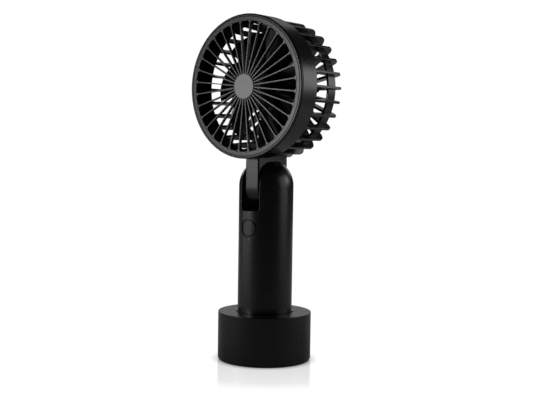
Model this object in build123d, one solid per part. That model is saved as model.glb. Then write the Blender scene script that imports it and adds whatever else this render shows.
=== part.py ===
from build123d import *
import math
import os

# Hand-held fan that stands in a round, weighted base. Millimetres.
# The origin is the centre of the base's underside. +Z is up, the fan blows towards -Y,
# and +X is to the right of somebody who looks at the grille.

os.makedirs("parts", exist_ok=True)

# Main places
HEAD_Z = 174.3  # height of the fan's axis
PIVOT_Z = 111.5  # height of the tilt hinge
FOOT_Z = 7.0  # underside of the handle while it stands in the base
FACE_Y = -23.5  # front plane of the head

# Clearances
MOVING_GAP = 0.3  # between pieces that move past each other
FIT_GAP = 0.05  # between pieces that are fitted together
SHAFT_GAP = 0.03  # running clearance round the motor shaft
AXLE_GAP = 0.05  # running clearance round the hinge axle
PAST = 1.0  # how far a cutter runs past the surface that it opens
TIP_GAP = 1.0  # room past the tip of a screw

# Cross recess of every screw, as shares of its head's radius
RECESS_ARM = 0.6
RECESS_HALF_W = 0.13

# Drum and front grille
HEAD_R = 45.0
DUCT_R = 41.0
DRUM_WALL = 1.9
DRUM_BACK_Y = -8.0
FLANGE_T = 1.4
COVER_T = 2.2  # depth of the face ring and the spokes
LIP_T = 1.1  # thickness of the cover's lip in front of the drum
LIP_ROUND = 0.7
PARTING_GAP = 0.3
OPENING_R = 40.6
OPENING_ROUND = 1.8
SPOKES = 32
SPOKE_W = 0.7
GRILLE_HUB_R = 8.3
GRILLE_BOSS_R = 7.4
GRILLE_BOSS_T = 4.0
GROOVE_R = 43.3
GROOVE_W = 0.4
GROOVE_D = 0.35
BADGE_R = 7.9
BADGE_PROUD = 0.5
BADGE_SINK = 0.4
BADGE_ROUND = 0.3

# Rear cage
FINS = 30
FIN_T = 1.6
FIN_R = 44.0
FIN_EDGE_ROUND = 0.3
CAGE_BACK_Y = 22.3
FIN_CORNER_R = 5.0
RIB_FRONT_Y = 15.0
RING_R = 40.0
RING_T = 1.6
RING_FRONT_Y = 10.8
RING_BACK_Y = 18.5
BOSS_R = 15.0
BOSS_WALL = 1.6
BOSS_FRONT_Y = 12.0
BOSS_PLATE_T = 2.0
CAP_T = 1.6
CAP_PROUD = 0.3
CAP_ROUND = 0.6
STRUT_W = 3.6
STRUT_FRONT_Y = 10.4

# Neck and its saddle under the drum
NECK_W = 11.2
NECK_HALF_DEPTH = 14.7
NECK_ROUND = 1.2
NECK_TOP_Z = 128.9
SADDLE_TOP_Z = 134.9
NECK_SCREW_YS = (-5.0, 3.5)
NECK_SCREW_R = 1.25
NECK_SCREW_HEAD_R = 2.3
NECK_SCREW_HEAD_T = 1.4
NECK_SCREW_TIP_Z = 118.0

# Motor
SHAFT_R = 1.0
BEARING_R = 2.5
BEARING_T = 2.3
MOUNT_R = 3.5
MOUNT_FRONT_Y = -4.4
MOUNT_FLANGE_R = 7.5
MOUNT_FLANGE_T = 1.45
MOUNT_BORE_R = 1.6
FRONT_BEARING_Y = -4.3
REAR_BEARING_Y = 9.9
STATOR_R = 9.2
STATOR_FRONT_Y = 0.0
STATOR_BACK_Y = 6.0
POLES = 6
POLE_W = 2.2
POLE_SHOE_T = 1.0
POLE_SHOE_ANGLE = 46.0
STATOR_HUB_R = 5.0
COIL_W = 4.2
COIL_OVERHANG = 1.6
COIL_ROUND = 1.0
COIL_HUB_GAP = 0.2
COIL_SHOE_GAP = 0.4
MAGNET_IN_R = 9.7
MAGNET_FRONT_Y = -1.0
MAGNET_BACK_Y = 7.0
YOKE_IN_R = 11.2
YOKE_R = 12.0
YOKE_T = 0.8
YOKE_BACK_Y = 8.0
YOKE_BOSS_R = 2.4
YOKE_BOSS_T = 1.8
BOARD_FRONT_Y = 8.5
BOARD_T = 0.6
MOTOR_BOARD_R = 12.2
CLIP_R = 1.9
CLIP_IN_R = 0.75
CLIP_T = 0.4
CLIP_MOUTH_HALF = 0.6
CLIP_GROOVE_R = 0.7
CLIP_GAP = 0.12  # from the rear bearing to the clip
SHAFT_BACK_Y = 13.0
MOTOR_SCREWS = 3
MOTOR_SCREW_PCR = 5.6
MOTOR_SCREW_START = 30.0
MOTOR_SCREW_R = 1.0
MOTOR_SCREW_HEAD_R = 1.8
MOTOR_SCREW_HEAD_T = 1.2

# Impeller: (radius, chord, pitch, lean, middle y) of each blade section
BLADES = 7
IMPELLER_R = 37.2
IMPELLER_HUB_R = 13.5
IMPELLER_FRONT_Y = -9.0
IMPELLER_BACK_Y = 8.2
IMPELLER_WALL = 1.4
HUB_ROUND = 2.4
BLADE_T = 1.2
BLADE_CAMBER = 0.09
BLADE_START = 6.2
BLADE_SECTIONS = (
    (12.6, 14.2, 41.9, 0.0, 0.6),
    (25.0, 24.0, 27.0, 4.0, 0.8),
    (39.3, 28.8, 17.0, 12.5, 0.5),
)

# Leads
LEAD_R = 0.45
LEAD_X = 0.55
LEAD_Y = 9.6
LEAD_CHANNEL_R = 1.1
LEAD_FLOOR_HOLE_R = 1.5  # through the cradle's floor
LEAD_BEND_R = 1.3
LEAD_BOARD_X = 6.4
LEAD_TAIL = 4.0
LEAD_LAND = 1.2  # from the motor board's edge to where the leads are soldered
LEAD_END_GAP = 0.2
LEAD_TURN_X = 13.7
LEAD_TURN_Z = 104.5
LEAD_WINDOW_Z = 81.5
LEAD_WINDOW_X = 7.9
LEAD_WINDOW_HALF = 2.4

# Hinge
AXLE_R = 2.5
AXLE_BORE_R = 1.4
AXLE_WINDOW_R = 1.2
AXLE_HALF = 11.6
AXLE_HEAD_R = 4.2
AXLE_HEAD_T = 1.6
NUT_ACROSS = 8.0
NUT_T = 2.0
WASHER_R = 8.0

# Handle
HANDLE_R = 17.5
HANDLE_WALL = 1.8
DOME_Z = 112.2
SLOT_HALF = 7.05
SLOT_Z = 96.5
SLOT_CORNER_R = 2.0
SLOT_EDGE_ROUND = 0.4
FOOT_ROUND = 0.6
CRADLE_STEP = 0.2  # the cradle stands back from the slot's edge by this much
CRADLE_WALL = 2.0
CRADLE_FLOOR_T = 1.9

# Button, switch and status light
BUTTON_Z = 85.5
BUTTON_R = 5.1
BUTTON_SINK = 0.1
BUTTON_ROUND = 0.35
BUTTON_MOAT_R = 6.4
BUTTON_MOAT_D = 0.5
BUTTON_FLANGE_R = 6.2
BUTTON_FLANGE_Y = -14.1
BUTTON_FLANGE_T = 1.0
SWITCH_HALF = 3.0
SWITCH_FRONT_Y = -12.5
SWITCH_WELL_T = 1.3
PLUNGER_R = 1.6
PLUNGER_BACK_Y = -11.9
BUTTON_BOARD_Y = -10.6
BUTTON_BOARD_T = 1.0
BUTTON_BOARD_HALF = 6.5
BUTTON_BOARD_LOW_Z = 77.6
BUTTON_BOARD_HIGH_Z = 93.4
LIGHT_Z = 78.3
LIGHT_R = 0.4
LED_T = 0.6
LED_HALF = 0.6

# Cell, chassis and main board
CELL_R = 9.2
CELL_LENGTH = 65.0
CELL_Y = -4.6
CELL_Z = 10.9
CELL_NOSE_R = 2.8
CELL_NOSE_T = 0.8
CELL_ROUND = 0.6
TAB_W = 7.0
TAB_T = 0.2
SPINE_Y = 6.2
SPINE_T = 1.6
SPINE_HALF = 12.6
SHELF_T = 1.2
CHASSIS_R = 15.4
STANDOFF_R = 1.6
STANDOFF_X = 8.0
STANDOFF_ZS = (24.0, 66.0)
MAIN_BOARD_Y = 9.4
MAIN_BOARD_T = 1.0
MAIN_BOARD_HALF = 10.4
MAIN_BOARD_LOW_Z = 20.0
MAIN_BOARD_HIGH_Z = 70.0
CHARGE_CHIP = (-4.0, 52.0, 5.0, 4.0, 1.0)  # x, z, width, height, depth
CONTROL_CHIP = (4.5, 60.0, 4.0, 5.0, 1.0)
POWER_COIL = (4.0, 50.0, 5.0, 5.0, 2.4)
CAPACITOR_R = 1.4
CAPACITOR_T = 2.2
CAPACITOR_XS = (-6.0, -2.5)
CAPACITOR_Z = 61.0
PORT_Z = 40.0
PORT_W = 9.0
PORT_H = 3.2
PORT_SKIN = 0.3
PORT_MOUTH_GAP = 0.35
PORT_BACK_Y = 16.9
TONGUE_W = 6.6
TONGUE_H = 0.7
BOSS_X = 11.2
BOSS_Y = 4.2
SMALL_BOSS_R = 2.4
SMALL_SCREW_R = 0.95
SMALL_HEAD_R = 1.8
SMALL_HEAD_T = 1.2
SMALL_SCREW_LENGTH = 7.0
BOTTOM_CAP_T = 2.0

# Base
BASE_R = 30.0
BASE_TOP_Z = 31.1
BASE_WALL = 2.2
BASE_EDGE = 0.6
PAD_T = 1.0
PAD_R = 29.0
SOCKET_WALL = 1.8
SOCKET_FLOOR_T = 1.8
SOCKET_MOUTH = 0.7
REST_GAP = 0.1  # between the handle's foot and the socket's floor
PLATE_T = 2.0
WEIGHT_TOP_Z = 24.0
WEIGHT_GAP = 0.4
BASE_SCREWS = 3
BASE_BOSS_PCR = 23.6
BASE_BOSS_R = 2.9
BASE_SCREW_R = 1.4
BASE_SCREW_HEAD_R = 2.6
BASE_SCREW_HEAD_T = 1.3
BASE_SCREW_LENGTH = 12.0


# Shapes that many pieces use


def rod_z(radius, low, high, x=0.0, y=0.0):
    """Upright cylinder."""
    return Pos(x, y, (low + high) / 2) * Cylinder(radius, high - low)


def rod_y(radius, front, back, x=0.0, z=HEAD_Z):
    """Cylinder along Y, by default on the fan's axis."""
    return Pos(x, (front + back) / 2, z) * Rot(90, 0, 0) * Cylinder(radius, back - front)


def rod_x(radius, left, right, y=0.0, z=PIVOT_Z):
    """Cylinder along X, by default on the hinge's axis."""
    return Pos((left + right) / 2, y, z) * Rot(0, 90, 0) * Cylinder(radius, right - left)


def block(x_range, y_range, z_range):
    """Box between two values on each axis."""
    size = [high - low for low, high in (x_range, y_range, z_range)]
    middle = [(high + low) / 2 for low, high in (x_range, y_range, z_range)]
    return Pos(*middle) * Box(*size)


def turned(points):
    """Ring about the fan's axis from an outline of (radius, y) points."""
    return Pos(0, 0, HEAD_Z) * revolve(make_face(Polyline(*points, close=True)), Axis.Y)


def around_fan(shape, count, start=0.0):
    """Copies of a shape that was built on the +X side of the fan's axis."""
    turns = [start + 360.0 * i / count for i in range(count)]
    return [Pos(0, 0, HEAD_Z) * Rot(0, -turn, 0) * shape for turn in turns]


def polar(radius, count, start=90.0):
    """Points evenly spaced on a circle about the upright axis."""
    turns = [math.radians(start + 360.0 * i / count) for i in range(count)]
    return [(radius * math.cos(turn), radius * math.sin(turn)) for turn in turns]


def capsule(radius, foot_z):
    """Upright round bar with the handle's domed top."""
    return rod_z(radius, foot_z, DOME_Z) + Pos(0, 0, DOME_Z) * Sphere(radius)


def cross_recess(head_r, head_t):
    """Cross that cuts half of a screw head's depth, centred on the head's face."""
    arm = Box(head_r * RECESS_ARM * 2, head_r * RECESS_HALF_W * 2, head_t)
    return arm + Rot(0, 0, 90) * arm


def lead(points):
    """Insulated wire along straight runs that are joined by arcs."""
    path = FilletPolyline(*points, radius=LEAD_BEND_R)
    return sweep(Plane(path @ 0, z_dir=path % 0) * Circle(LEAD_R), path=path)


# Head


def grille_opening():
    """One tapered opening between two spokes, its outer corners rounded."""
    half_angle = math.radians(180.0 / SPOKES)

    def half_width(distance):
        return (distance * math.sin(half_angle) - SPOKE_W / 2) / math.cos(half_angle)

    near, far = half_width(GRILLE_HUB_R), half_width(HEAD_R)
    wedge = make_face(
        Polyline((GRILLE_HUB_R, -near), (HEAD_R, -far), (HEAD_R, far), (GRILLE_HUB_R, near), close=True)
    )
    opening = wedge & Circle(OPENING_R)
    opening = fillet(opening.vertices().sort_by(Axis.X)[-2:], OPENING_ROUND)
    return extrude(opening, COVER_T * 2, both=True)


def front_grille():
    back = FACE_Y + COVER_T
    skirt_back = DRUM_BACK_Y - FLANGE_T - FIT_GAP
    skirt_r = HEAD_R - DRUM_WALL - FIT_GAP
    lip = FACE_Y + LIP_T
    lip_cut = LIP_ROUND * (1 - math.sqrt(0.5))
    plate = rod_y(OPENING_R, FACE_Y, back)
    opening = Rot(90, 0, 0) * grille_opening()
    openings = [Pos(0, FACE_Y, 0) * cut for cut in around_fan(opening, SPOKES)]
    plate = plate - openings
    half_groove = GROOVE_W / 2
    rim = turned(
        [
            (OPENING_R, FACE_Y),
            (GROOVE_R - half_groove, FACE_Y),
            (GROOVE_R, FACE_Y + GROOVE_D),
            (GROOVE_R + half_groove, FACE_Y),
            (HEAD_R - LIP_ROUND, FACE_Y),
            (HEAD_R - lip_cut, FACE_Y + lip_cut),
            (HEAD_R, FACE_Y + LIP_ROUND),
            (HEAD_R, lip),
            (skirt_r, lip),
            (skirt_r, skirt_back),
            (DUCT_R, skirt_back),
            (DUCT_R, back),
            (OPENING_R, back),
        ]
    )
    boss = rod_y(GRILLE_BOSS_R, FACE_Y, FACE_Y + GRILLE_BOSS_T)
    seat = rod_y(BADGE_R + FIT_GAP, FACE_Y - BADGE_PROUD, FACE_Y + BADGE_SINK)
    return plate + rim + boss - seat


def grille_badge():
    disc = rod_y(BADGE_R, FACE_Y - BADGE_PROUD, FACE_Y + BADGE_SINK)
    return fillet(disc.edges().sort_by(Axis.Y)[0], BADGE_ROUND)


def cage_fin():
    """C-shaped fin: along the drum's side, round the corner, and in to the motor boss."""
    root_y = DRUM_BACK_Y - FLANGE_T / 2
    corner_y = CAGE_BACK_Y - FIN_CORNER_R
    inner_r = RING_R - RING_T / 2
    side = Polyline(
        (FIN_R - FIN_CORNER_R, CAGE_BACK_Y),
        (BOSS_R - BOSS_WALL / 2, CAGE_BACK_Y),
        (BOSS_R - BOSS_WALL / 2, RIB_FRONT_Y),
        (inner_r, RIB_FRONT_Y),
        (inner_r, RING_FRONT_Y),
        (DUCT_R + FIT_GAP, root_y),
        (FIN_R, root_y),
        (FIN_R, corner_y),
    )
    corner = RadiusArc((FIN_R, corner_y), (FIN_R - FIN_CORNER_R, CAGE_BACK_Y), -FIN_CORNER_R)
    fin = extrude(make_face([*side.edges(), *corner.edges()]), FIN_T / 2, both=True)
    outer = [
        edge
        for edge in fin.edges()
        if abs(edge.center().Z) > FIN_T / 4
        and (edge.center().X > RING_R or edge.center().Y > CAGE_BACK_Y - FIT_GAP)
        and edge.center().Y > root_y + FIT_GAP
    ]
    return fillet(outer, FIN_EDGE_ROUND)


def head_shell():
    drum_front = FACE_Y + LIP_T + PARTING_GAP
    flange_front = DRUM_BACK_Y - FLANGE_T
    edge = FIN_EDGE_ROUND
    drum = turned(
        [
            (HEAD_R - DRUM_WALL, drum_front),
            (HEAD_R, drum_front),
            (HEAD_R, DRUM_BACK_Y - edge),
            (HEAD_R - edge, DRUM_BACK_Y),
            (DUCT_R, DRUM_BACK_Y),
            (DUCT_R, flange_front),
            (HEAD_R - DRUM_WALL, flange_front),
        ]
    )
    ring = rod_y(RING_R, RING_FRONT_Y, RING_BACK_Y) - rod_y(RING_R - RING_T, RING_FRONT_Y, RING_BACK_Y)
    boss = rod_y(BOSS_R, BOSS_FRONT_Y, CAGE_BACK_Y)
    boss -= rod_y(BOSS_R - BOSS_WALL, BOSS_FRONT_Y + BOSS_PLATE_T, CAGE_BACK_Y)
    boss -= rod_y(MOUNT_R + FIT_GAP, BOSS_FRONT_Y, CAGE_BACK_Y)
    boss -= motor_screw_holes()
    half = NECK_W / 2
    saddle = block(
        (-half, half), (-NECK_HALF_DEPTH, NECK_HALF_DEPTH), (NECK_TOP_Z, SADDLE_TOP_Z)
    )
    upright = saddle.edges().filter_by(Axis.Z)
    saddle = fillet(upright, NECK_ROUND)
    saddle -= rod_y(HEAD_R - DRUM_WALL / 2, FACE_Y, DRUM_BACK_Y - FLANGE_T / 2)
    strut = block(
        (-STRUT_W / 2, STRUT_W / 2),
        (STRUT_FRONT_Y + MOVING_GAP, RIB_FRONT_Y + FIN_T),
        (HEAD_Z - RING_R + RING_T / 2, HEAD_Z - BOSS_R + BOSS_WALL / 2),
    )
    shell = drum + ring + boss + strut + around_fan(cage_fin(), FINS)
    shell += saddle
    for y in NECK_SCREW_YS:
        shell -= rod_z(NECK_SCREW_R + FIT_GAP, NECK_TOP_Z, HEAD_Z - RING_R + RING_T, y=y)
        head_low = SADDLE_TOP_Z - NECK_SCREW_HEAD_T - FIT_GAP
        shell -= rod_z(NECK_SCREW_HEAD_R + FIT_GAP, head_low, SADDLE_TOP_Z + FIN_T, y=y)
    shell -= rod_z(LEAD_CHANNEL_R, NECK_TOP_Z, SADDLE_TOP_Z + FIN_T, y=LEAD_Y)
    return shell


def rear_cap():
    back = CAGE_BACK_Y + CAP_PROUD
    cap = rod_y(BOSS_R - BOSS_WALL - FIT_GAP, back - CAP_T, back)
    return fillet(cap.edges().sort_by(Axis.Y)[-1], CAP_ROUND)


def blade_section(radius, chord, pitch, lean, middle_y):
    """Cambered blade section on a plane square to the radius, leaned round the hub."""
    half = chord / 2
    rise = chord * BLADE_CAMBER
    lower = ThreePointArc((-half, 0), (0, rise - BLADE_T / 2), (half, 0))
    upper = ThreePointArc((-half, BLADE_T / 3), (0, rise + BLADE_T / 2), (half, BLADE_T / 3))
    nose = Line((-half, 0), (-half, BLADE_T / 3))
    tail = Line((half, 0), (half, BLADE_T / 3))
    face = make_face([lower, upper, nose, tail])
    plane = Plane(origin=(radius, middle_y, 0), x_dir=(0, 0, 1), z_dir=(1, 0, 0))
    return Rot(0, -lean, 0) * (plane * (Rot(0, 0, pitch) * face))


def impeller():
    hub = rod_y(IMPELLER_HUB_R, IMPELLER_FRONT_Y, IMPELLER_BACK_Y)
    hub = fillet(hub.edges().sort_by(Axis.Y)[0], HUB_ROUND)
    bore = rod_y(YOKE_R + FIT_GAP, IMPELLER_FRONT_Y + IMPELLER_WALL, IMPELLER_BACK_Y)
    blade = loft([blade_section(*row) for row in BLADE_SECTIONS])
    trim = Rot(90, 0, 0) * Cylinder(IMPELLER_R, BASE_R * 2)
    blade = blade & trim
    return hub + around_fan(blade, BLADES, start=BLADE_START) - bore


def rotor_cup():
    front = IMPELLER_FRONT_Y + IMPELLER_WALL + FIT_GAP
    cup = rod_y(YOKE_R, front, YOKE_BACK_Y) - rod_y(YOKE_IN_R, front + YOKE_T, YOKE_BACK_Y)
    cup += rod_y(YOKE_BOSS_R, front + YOKE_T, front + YOKE_T + YOKE_BOSS_T)
    return cup - rod_y(SHAFT_R + SHAFT_GAP, front, front + YOKE_T + YOKE_BOSS_T)


def magnet_ring():
    outer = rod_y(YOKE_IN_R - FIT_GAP, MAGNET_FRONT_Y, MAGNET_BACK_Y)
    return outer - rod_y(MAGNET_IN_R, MAGNET_FRONT_Y, MAGNET_BACK_Y)


def clip_front_y():
    return REAR_BEARING_Y + BEARING_T + CLIP_GAP


def motor_shaft():
    """Shaft with the groove that its clip sits in."""
    front = IMPELLER_FRONT_Y + IMPELLER_WALL + FIT_GAP * 2
    shaft = rod_y(SHAFT_R, front, SHAFT_BACK_Y)
    groove = (clip_front_y() - SHAFT_GAP, clip_front_y() + CLIP_T + SHAFT_GAP)
    return shaft - (rod_y(CLIP_R, *groove) - rod_y(CLIP_GROOVE_R, *groove))


def shaft_clip():
    front = clip_front_y()
    back = front + CLIP_T
    clip = rod_y(CLIP_R, front, back) - rod_y(CLIP_IN_R, front, back)
    return clip - block((-CLIP_MOUTH_HALF, CLIP_MOUTH_HALF), (front, back), (HEAD_Z, HEAD_Z + CLIP_R + PAST))


def motor_bearings():
    """Two ball bearings, each as its rings and shields in one solid."""
    solids = []
    for front in (FRONT_BEARING_Y, REAR_BEARING_Y):
        outer = rod_y(BEARING_R - FIT_GAP / 2, front, front + BEARING_T)
        solids.append(outer - rod_y(SHAFT_R + SHAFT_GAP, front, front + BEARING_T))
    return Compound(children=solids)


def motor_mount():
    """Bearing tube with the flange that is screwed to the motor boss."""
    back = BOSS_FRONT_Y + BOSS_PLATE_T
    tube = rod_y(MOUNT_R, MOUNT_FRONT_Y, back)
    flange_back = BOSS_FRONT_Y - FIT_GAP
    tube += rod_y(MOUNT_FLANGE_R, flange_back - MOUNT_FLANGE_T, flange_back)
    tube -= rod_y(BEARING_R, MOUNT_FRONT_Y, FRONT_BEARING_Y + BEARING_T)
    tube -= rod_y(BEARING_R, REAR_BEARING_Y, back)
    tube -= rod_y(MOUNT_BORE_R, MOUNT_FRONT_Y, back)
    return tube - motor_screw_holes()


def motor_screw_holes():
    front = BOSS_FRONT_Y - MOUNT_FLANGE_T - FIT_GAP
    back = BOSS_FRONT_Y + BOSS_PLATE_T
    hole = Pos(MOTOR_SCREW_PCR, 0, 0) * Rot(90, 0, 0) * Cylinder(MOTOR_SCREW_R + FIT_GAP, back - front)
    hole = Pos(0, (front + back) / 2, 0) * hole
    return around_fan(hole, MOTOR_SCREWS, start=MOTOR_SCREW_START)


def motor_screws():
    back = BOSS_FRONT_Y + BOSS_PLATE_T
    front = BOSS_FRONT_Y - MOUNT_FLANGE_T
    shank = Pos(MOTOR_SCREW_PCR, (front + back) / 2, 0) * Rot(90, 0, 0)
    shank = shank * Cylinder(MOTOR_SCREW_R, back - front)
    head = Pos(MOTOR_SCREW_PCR, back + MOTOR_SCREW_HEAD_T / 2, 0) * Rot(90, 0, 0)
    head = head * Cylinder(MOTOR_SCREW_HEAD_R, MOTOR_SCREW_HEAD_T)
    recess = Pos(MOTOR_SCREW_PCR, back + MOTOR_SCREW_HEAD_T, 0) * Rot(90, 0, 0)
    recess = recess * cross_recess(MOTOR_SCREW_HEAD_R, MOTOR_SCREW_HEAD_T)
    return Compound(children=around_fan(shank + head - recess, MOTOR_SCREWS, start=MOTOR_SCREW_START))


def stator_core():
    """Laminated core: hub, poles and pole shoes."""
    depth = STATOR_BACK_Y - STATOR_FRONT_Y
    middle = (STATOR_FRONT_Y + STATOR_BACK_Y) / 2
    shoe_in_r = STATOR_R - POLE_SHOE_T
    hub = rod_y(STATOR_HUB_R, STATOR_FRONT_Y, STATOR_BACK_Y)
    reach = shoe_in_r + POLE_SHOE_T / 2
    pole = Pos(reach / 2, middle, 0) * Box(reach, depth, POLE_W)
    ring = Cylinder(STATOR_R, depth) - Cylinder(shoe_in_r, depth)
    half = math.tan(math.radians(POLE_SHOE_ANGLE / 2)) * STATOR_R * 2
    wedge = Polyline((0, 0), (STATOR_R * 2, -half), (STATOR_R * 2, half), close=True)
    sector = extrude(make_face(wedge), depth, both=True)
    shoe = Pos(0, middle, 0) * Rot(90, 0, 0) * (ring & sector)
    core = hub + around_fan(pole + shoe, POLES)
    return core - rod_y(MOUNT_R + FIT_GAP, STATOR_FRONT_Y, STATOR_BACK_Y)


def stator_coils():
    """One winding round each pole."""
    low_r = STATOR_HUB_R + COIL_HUB_GAP
    high_r = STATOR_R - POLE_SHOE_T - COIL_SHOE_GAP
    front = STATOR_FRONT_Y - COIL_OVERHANG
    back = STATOR_BACK_Y + COIL_OVERHANG
    size = (high_r - low_r, back - front, COIL_W)
    middle = Pos((low_r + high_r) / 2, (front + back) / 2, 0)
    coil = middle * Box(*size)
    coil = fillet(coil.edges().filter_by(Axis.X), COIL_ROUND)
    window = middle * Box(HEAD_R, STATOR_BACK_Y - STATOR_FRONT_Y + FIT_GAP * 2, POLE_W + FIT_GAP * 2)
    return Compound(children=around_fan(coil - window, POLES))


def motor_board():
    back = BOARD_FRONT_Y + BOARD_T
    return rod_y(MOTOR_BOARD_R, BOARD_FRONT_Y, back) - rod_y(MOUNT_R + FIT_GAP, BOARD_FRONT_Y, back)


def motor_leads():
    """Two leads: down the strut, through the neck, and forward to the axle's window."""
    top = HEAD_Z - MOTOR_BOARD_R + LEAD_LAND
    points = [(LEAD_Y, top), (LEAD_Y, PIVOT_Z), (AXLE_R + LEAD_END_GAP, PIVOT_Z)]
    leads = [lead([(side * LEAD_X, y, z) for y, z in points]) for side in (-1, 1)]
    return Compound(children=leads)


def neck_arm():
    """Flat bar: round about the hinge below, square under the drum's saddle above."""
    half = NECK_W / 2
    bar = block((-half, half), (-NECK_HALF_DEPTH, NECK_HALF_DEPTH), (PIVOT_Z, NECK_TOP_Z - FIT_GAP))
    bar += rod_x(NECK_HALF_DEPTH, -half, half)
    outline = [
        edge
        for edge in bar.edges()
        if abs(abs(edge.center().X) - half) < FIT_GAP and edge.center().Z < NECK_TOP_Z - NECK_ROUND
    ]
    bar = fillet(outline, NECK_ROUND)
    bar -= rod_x(AXLE_R + AXLE_GAP, -half, half)
    for y in NECK_SCREW_YS:
        bar -= rod_z(NECK_SCREW_R + FIT_GAP, NECK_SCREW_TIP_Z - TIP_GAP, NECK_TOP_Z, y=y)
    bar -= rod_z(LEAD_CHANNEL_R, PIVOT_Z, NECK_TOP_Z, y=LEAD_Y)
    return bar - rod_y(LEAD_CHANNEL_R, 0, LEAD_Y + LEAD_CHANNEL_R, z=PIVOT_Z)


def neck_screws():
    solids = []
    head_low = SADDLE_TOP_Z - NECK_SCREW_HEAD_T
    for y in NECK_SCREW_YS:
        screw = rod_z(NECK_SCREW_R, NECK_SCREW_TIP_Z, SADDLE_TOP_Z, y=y)
        screw += rod_z(NECK_SCREW_HEAD_R, head_low, SADDLE_TOP_Z, y=y)
        recess = Pos(0, y, SADDLE_TOP_Z) * cross_recess(NECK_SCREW_HEAD_R, NECK_SCREW_HEAD_T)
        solids.append(screw - recess)
    return Compound(children=solids)


# Hinge


def cradle_inner_x():
    return SLOT_HALF + CRADLE_STEP


def cradle_outer_x():
    return cradle_inner_x() + CRADLE_WALL


def hinge_axle():
    """Hollow axle with a head at one end and a window for the leads in the middle."""
    start = -cradle_outer_x() - FIT_GAP
    axle = rod_x(AXLE_R, start, AXLE_HALF)
    axle += rod_x(AXLE_HEAD_R, start - AXLE_HEAD_T, start)
    axle -= rod_x(AXLE_BORE_R, start - AXLE_HEAD_T, AXLE_HALF)
    return axle - rod_y(AXLE_WINDOW_R, 0, AXLE_R, z=PIVOT_Z)


def hinge_nut():
    start = cradle_outer_x() + FIT_GAP
    hexagon = extrude(RegularPolygon(NUT_ACROSS / 2, 6, major_radius=False), NUT_T)
    nut = Pos(start, 0, PIVOT_Z) * Rot(0, 90, 0) * hexagon
    return nut - rod_x(AXLE_R + FIT_GAP, start, start + NUT_T)


def hinge_washers():
    solids = []
    inner = NECK_W / 2 + AXLE_GAP
    outer = cradle_inner_x() - FIT_GAP
    for low, high in ((-outer, -inner), (inner, outer)):
        solids.append(rod_x(WASHER_R, low, high) - rod_x(AXLE_R + FIT_GAP, low, high))
    return Compound(children=solids)


# Handle


def slot_cut(half_width, floor_z, corner_r):
    """The neck's slot: straight through the top from front to back, its lower corners rounded."""
    high = DOME_Z + HANDLE_R * 2
    cut = block((-half_width, half_width), (-HANDLE_R * 2, HANDLE_R * 2), (floor_z, high))
    return fillet(cut.edges().filter_by(Axis.Y).group_by(Axis.Z)[0], corner_r)


def port_prism(width, height, front, back):
    """Bar with the charging port's rounded outline."""
    outline = Plane((0, front, PORT_Z), x_dir=(1, 0, 0), z_dir=(0, 1, 0)) * SlotOverall(width, height)
    return extrude(outline, back - front)


def handle_tube():
    tube = capsule(HANDLE_R, FOOT_Z)
    tube = fillet(tube.edges().group_by(Axis.Z)[0], FOOT_ROUND)
    tube -= slot_cut(SLOT_HALF, SLOT_Z, SLOT_CORNER_R)
    rim = [edge for edge in tube.edges() if edge.center().Z > SLOT_Z - PAST and on_handle_skin(edge)]
    rim = [edge for edge in rim if abs(edge.center().X) < SLOT_HALF + FIT_GAP]
    tube = fillet(rim, SLOT_EDGE_ROUND)
    tube -= capsule(HANDLE_R - HANDLE_WALL, FOOT_Z - PAST)
    moat = rod_y(BUTTON_MOAT_R, -HANDLE_R - PAST, 0, z=BUTTON_Z)
    moat -= rod_z(HANDLE_R - BUTTON_MOAT_D, BUTTON_Z - HANDLE_R, BUTTON_Z + HANDLE_R)
    tube -= moat
    tube -= rod_y(BUTTON_R + MOVING_GAP, -HANDLE_R - PAST, 0, z=BUTTON_Z)
    tube -= rod_y(LIGHT_R + FIT_GAP, -HANDLE_R - PAST, 0, z=LIGHT_Z)
    mouth = PORT_MOUTH_GAP * 2
    return tube - port_prism(PORT_W + mouth, PORT_H + mouth, 0, HANDLE_R + PAST)


def on_handle_skin(edge):
    """True for an edge whose ends and middle all lie on the handle's outer skin."""
    for place in (0.0, 0.5, 1.0):
        point = edge @ place
        height = max(point.Z - DOME_Z, 0.0)
        if abs(math.hypot(point.X, point.Y, height) - HANDLE_R) > FIT_GAP:
            return False
    return True


def hinge_cradle():
    """U-shaped liner in the slot, on a round floor that the chassis is screwed to."""
    floor_top = SLOT_Z - CRADLE_STEP
    floor_low = floor_top - CRADLE_FLOOR_T
    room = capsule(HANDLE_R - HANDLE_WALL - FIT_GAP * 2, floor_low)
    outer = cradle_outer_x()
    wide = HANDLE_R * 2
    walls = block((-outer, outer), (-wide, wide), (floor_low, DOME_Z + wide))
    floor = block((-wide, wide), (-wide, wide), (floor_low, floor_top))
    cradle = room & (walls + floor)
    cradle -= slot_cut(cradle_inner_x(), floor_top, SLOT_CORNER_R)
    cradle -= rod_x(AXLE_R + FIT_GAP, -HANDLE_R, HANDLE_R)
    for x in (-BOSS_X, BOSS_X):
        cradle -= rod_z(SMALL_SCREW_R + FIT_GAP, floor_low, floor_top, x=x, y=BOSS_Y)
    return cradle - rod_z(LEAD_FLOOR_HOLE_R, floor_low, floor_top, x=BOSS_X, y=-BOSS_Y)


def small_screw(x, y, head_z, up):
    """Small pan-head screw. Its head is at head_z and its shank goes up or down from there."""
    side = 1 if up else -1
    tip = head_z + side * SMALL_SCREW_LENGTH
    head = sorted((head_z, head_z - side * SMALL_HEAD_T))
    screw = rod_z(SMALL_SCREW_R, *sorted((head_z, tip)), x=x, y=y) + rod_z(SMALL_HEAD_R, *head, x=x, y=y)
    return screw - Pos(x, y, head_z - side * SMALL_HEAD_T) * cross_recess(SMALL_HEAD_R, SMALL_HEAD_T)


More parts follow.
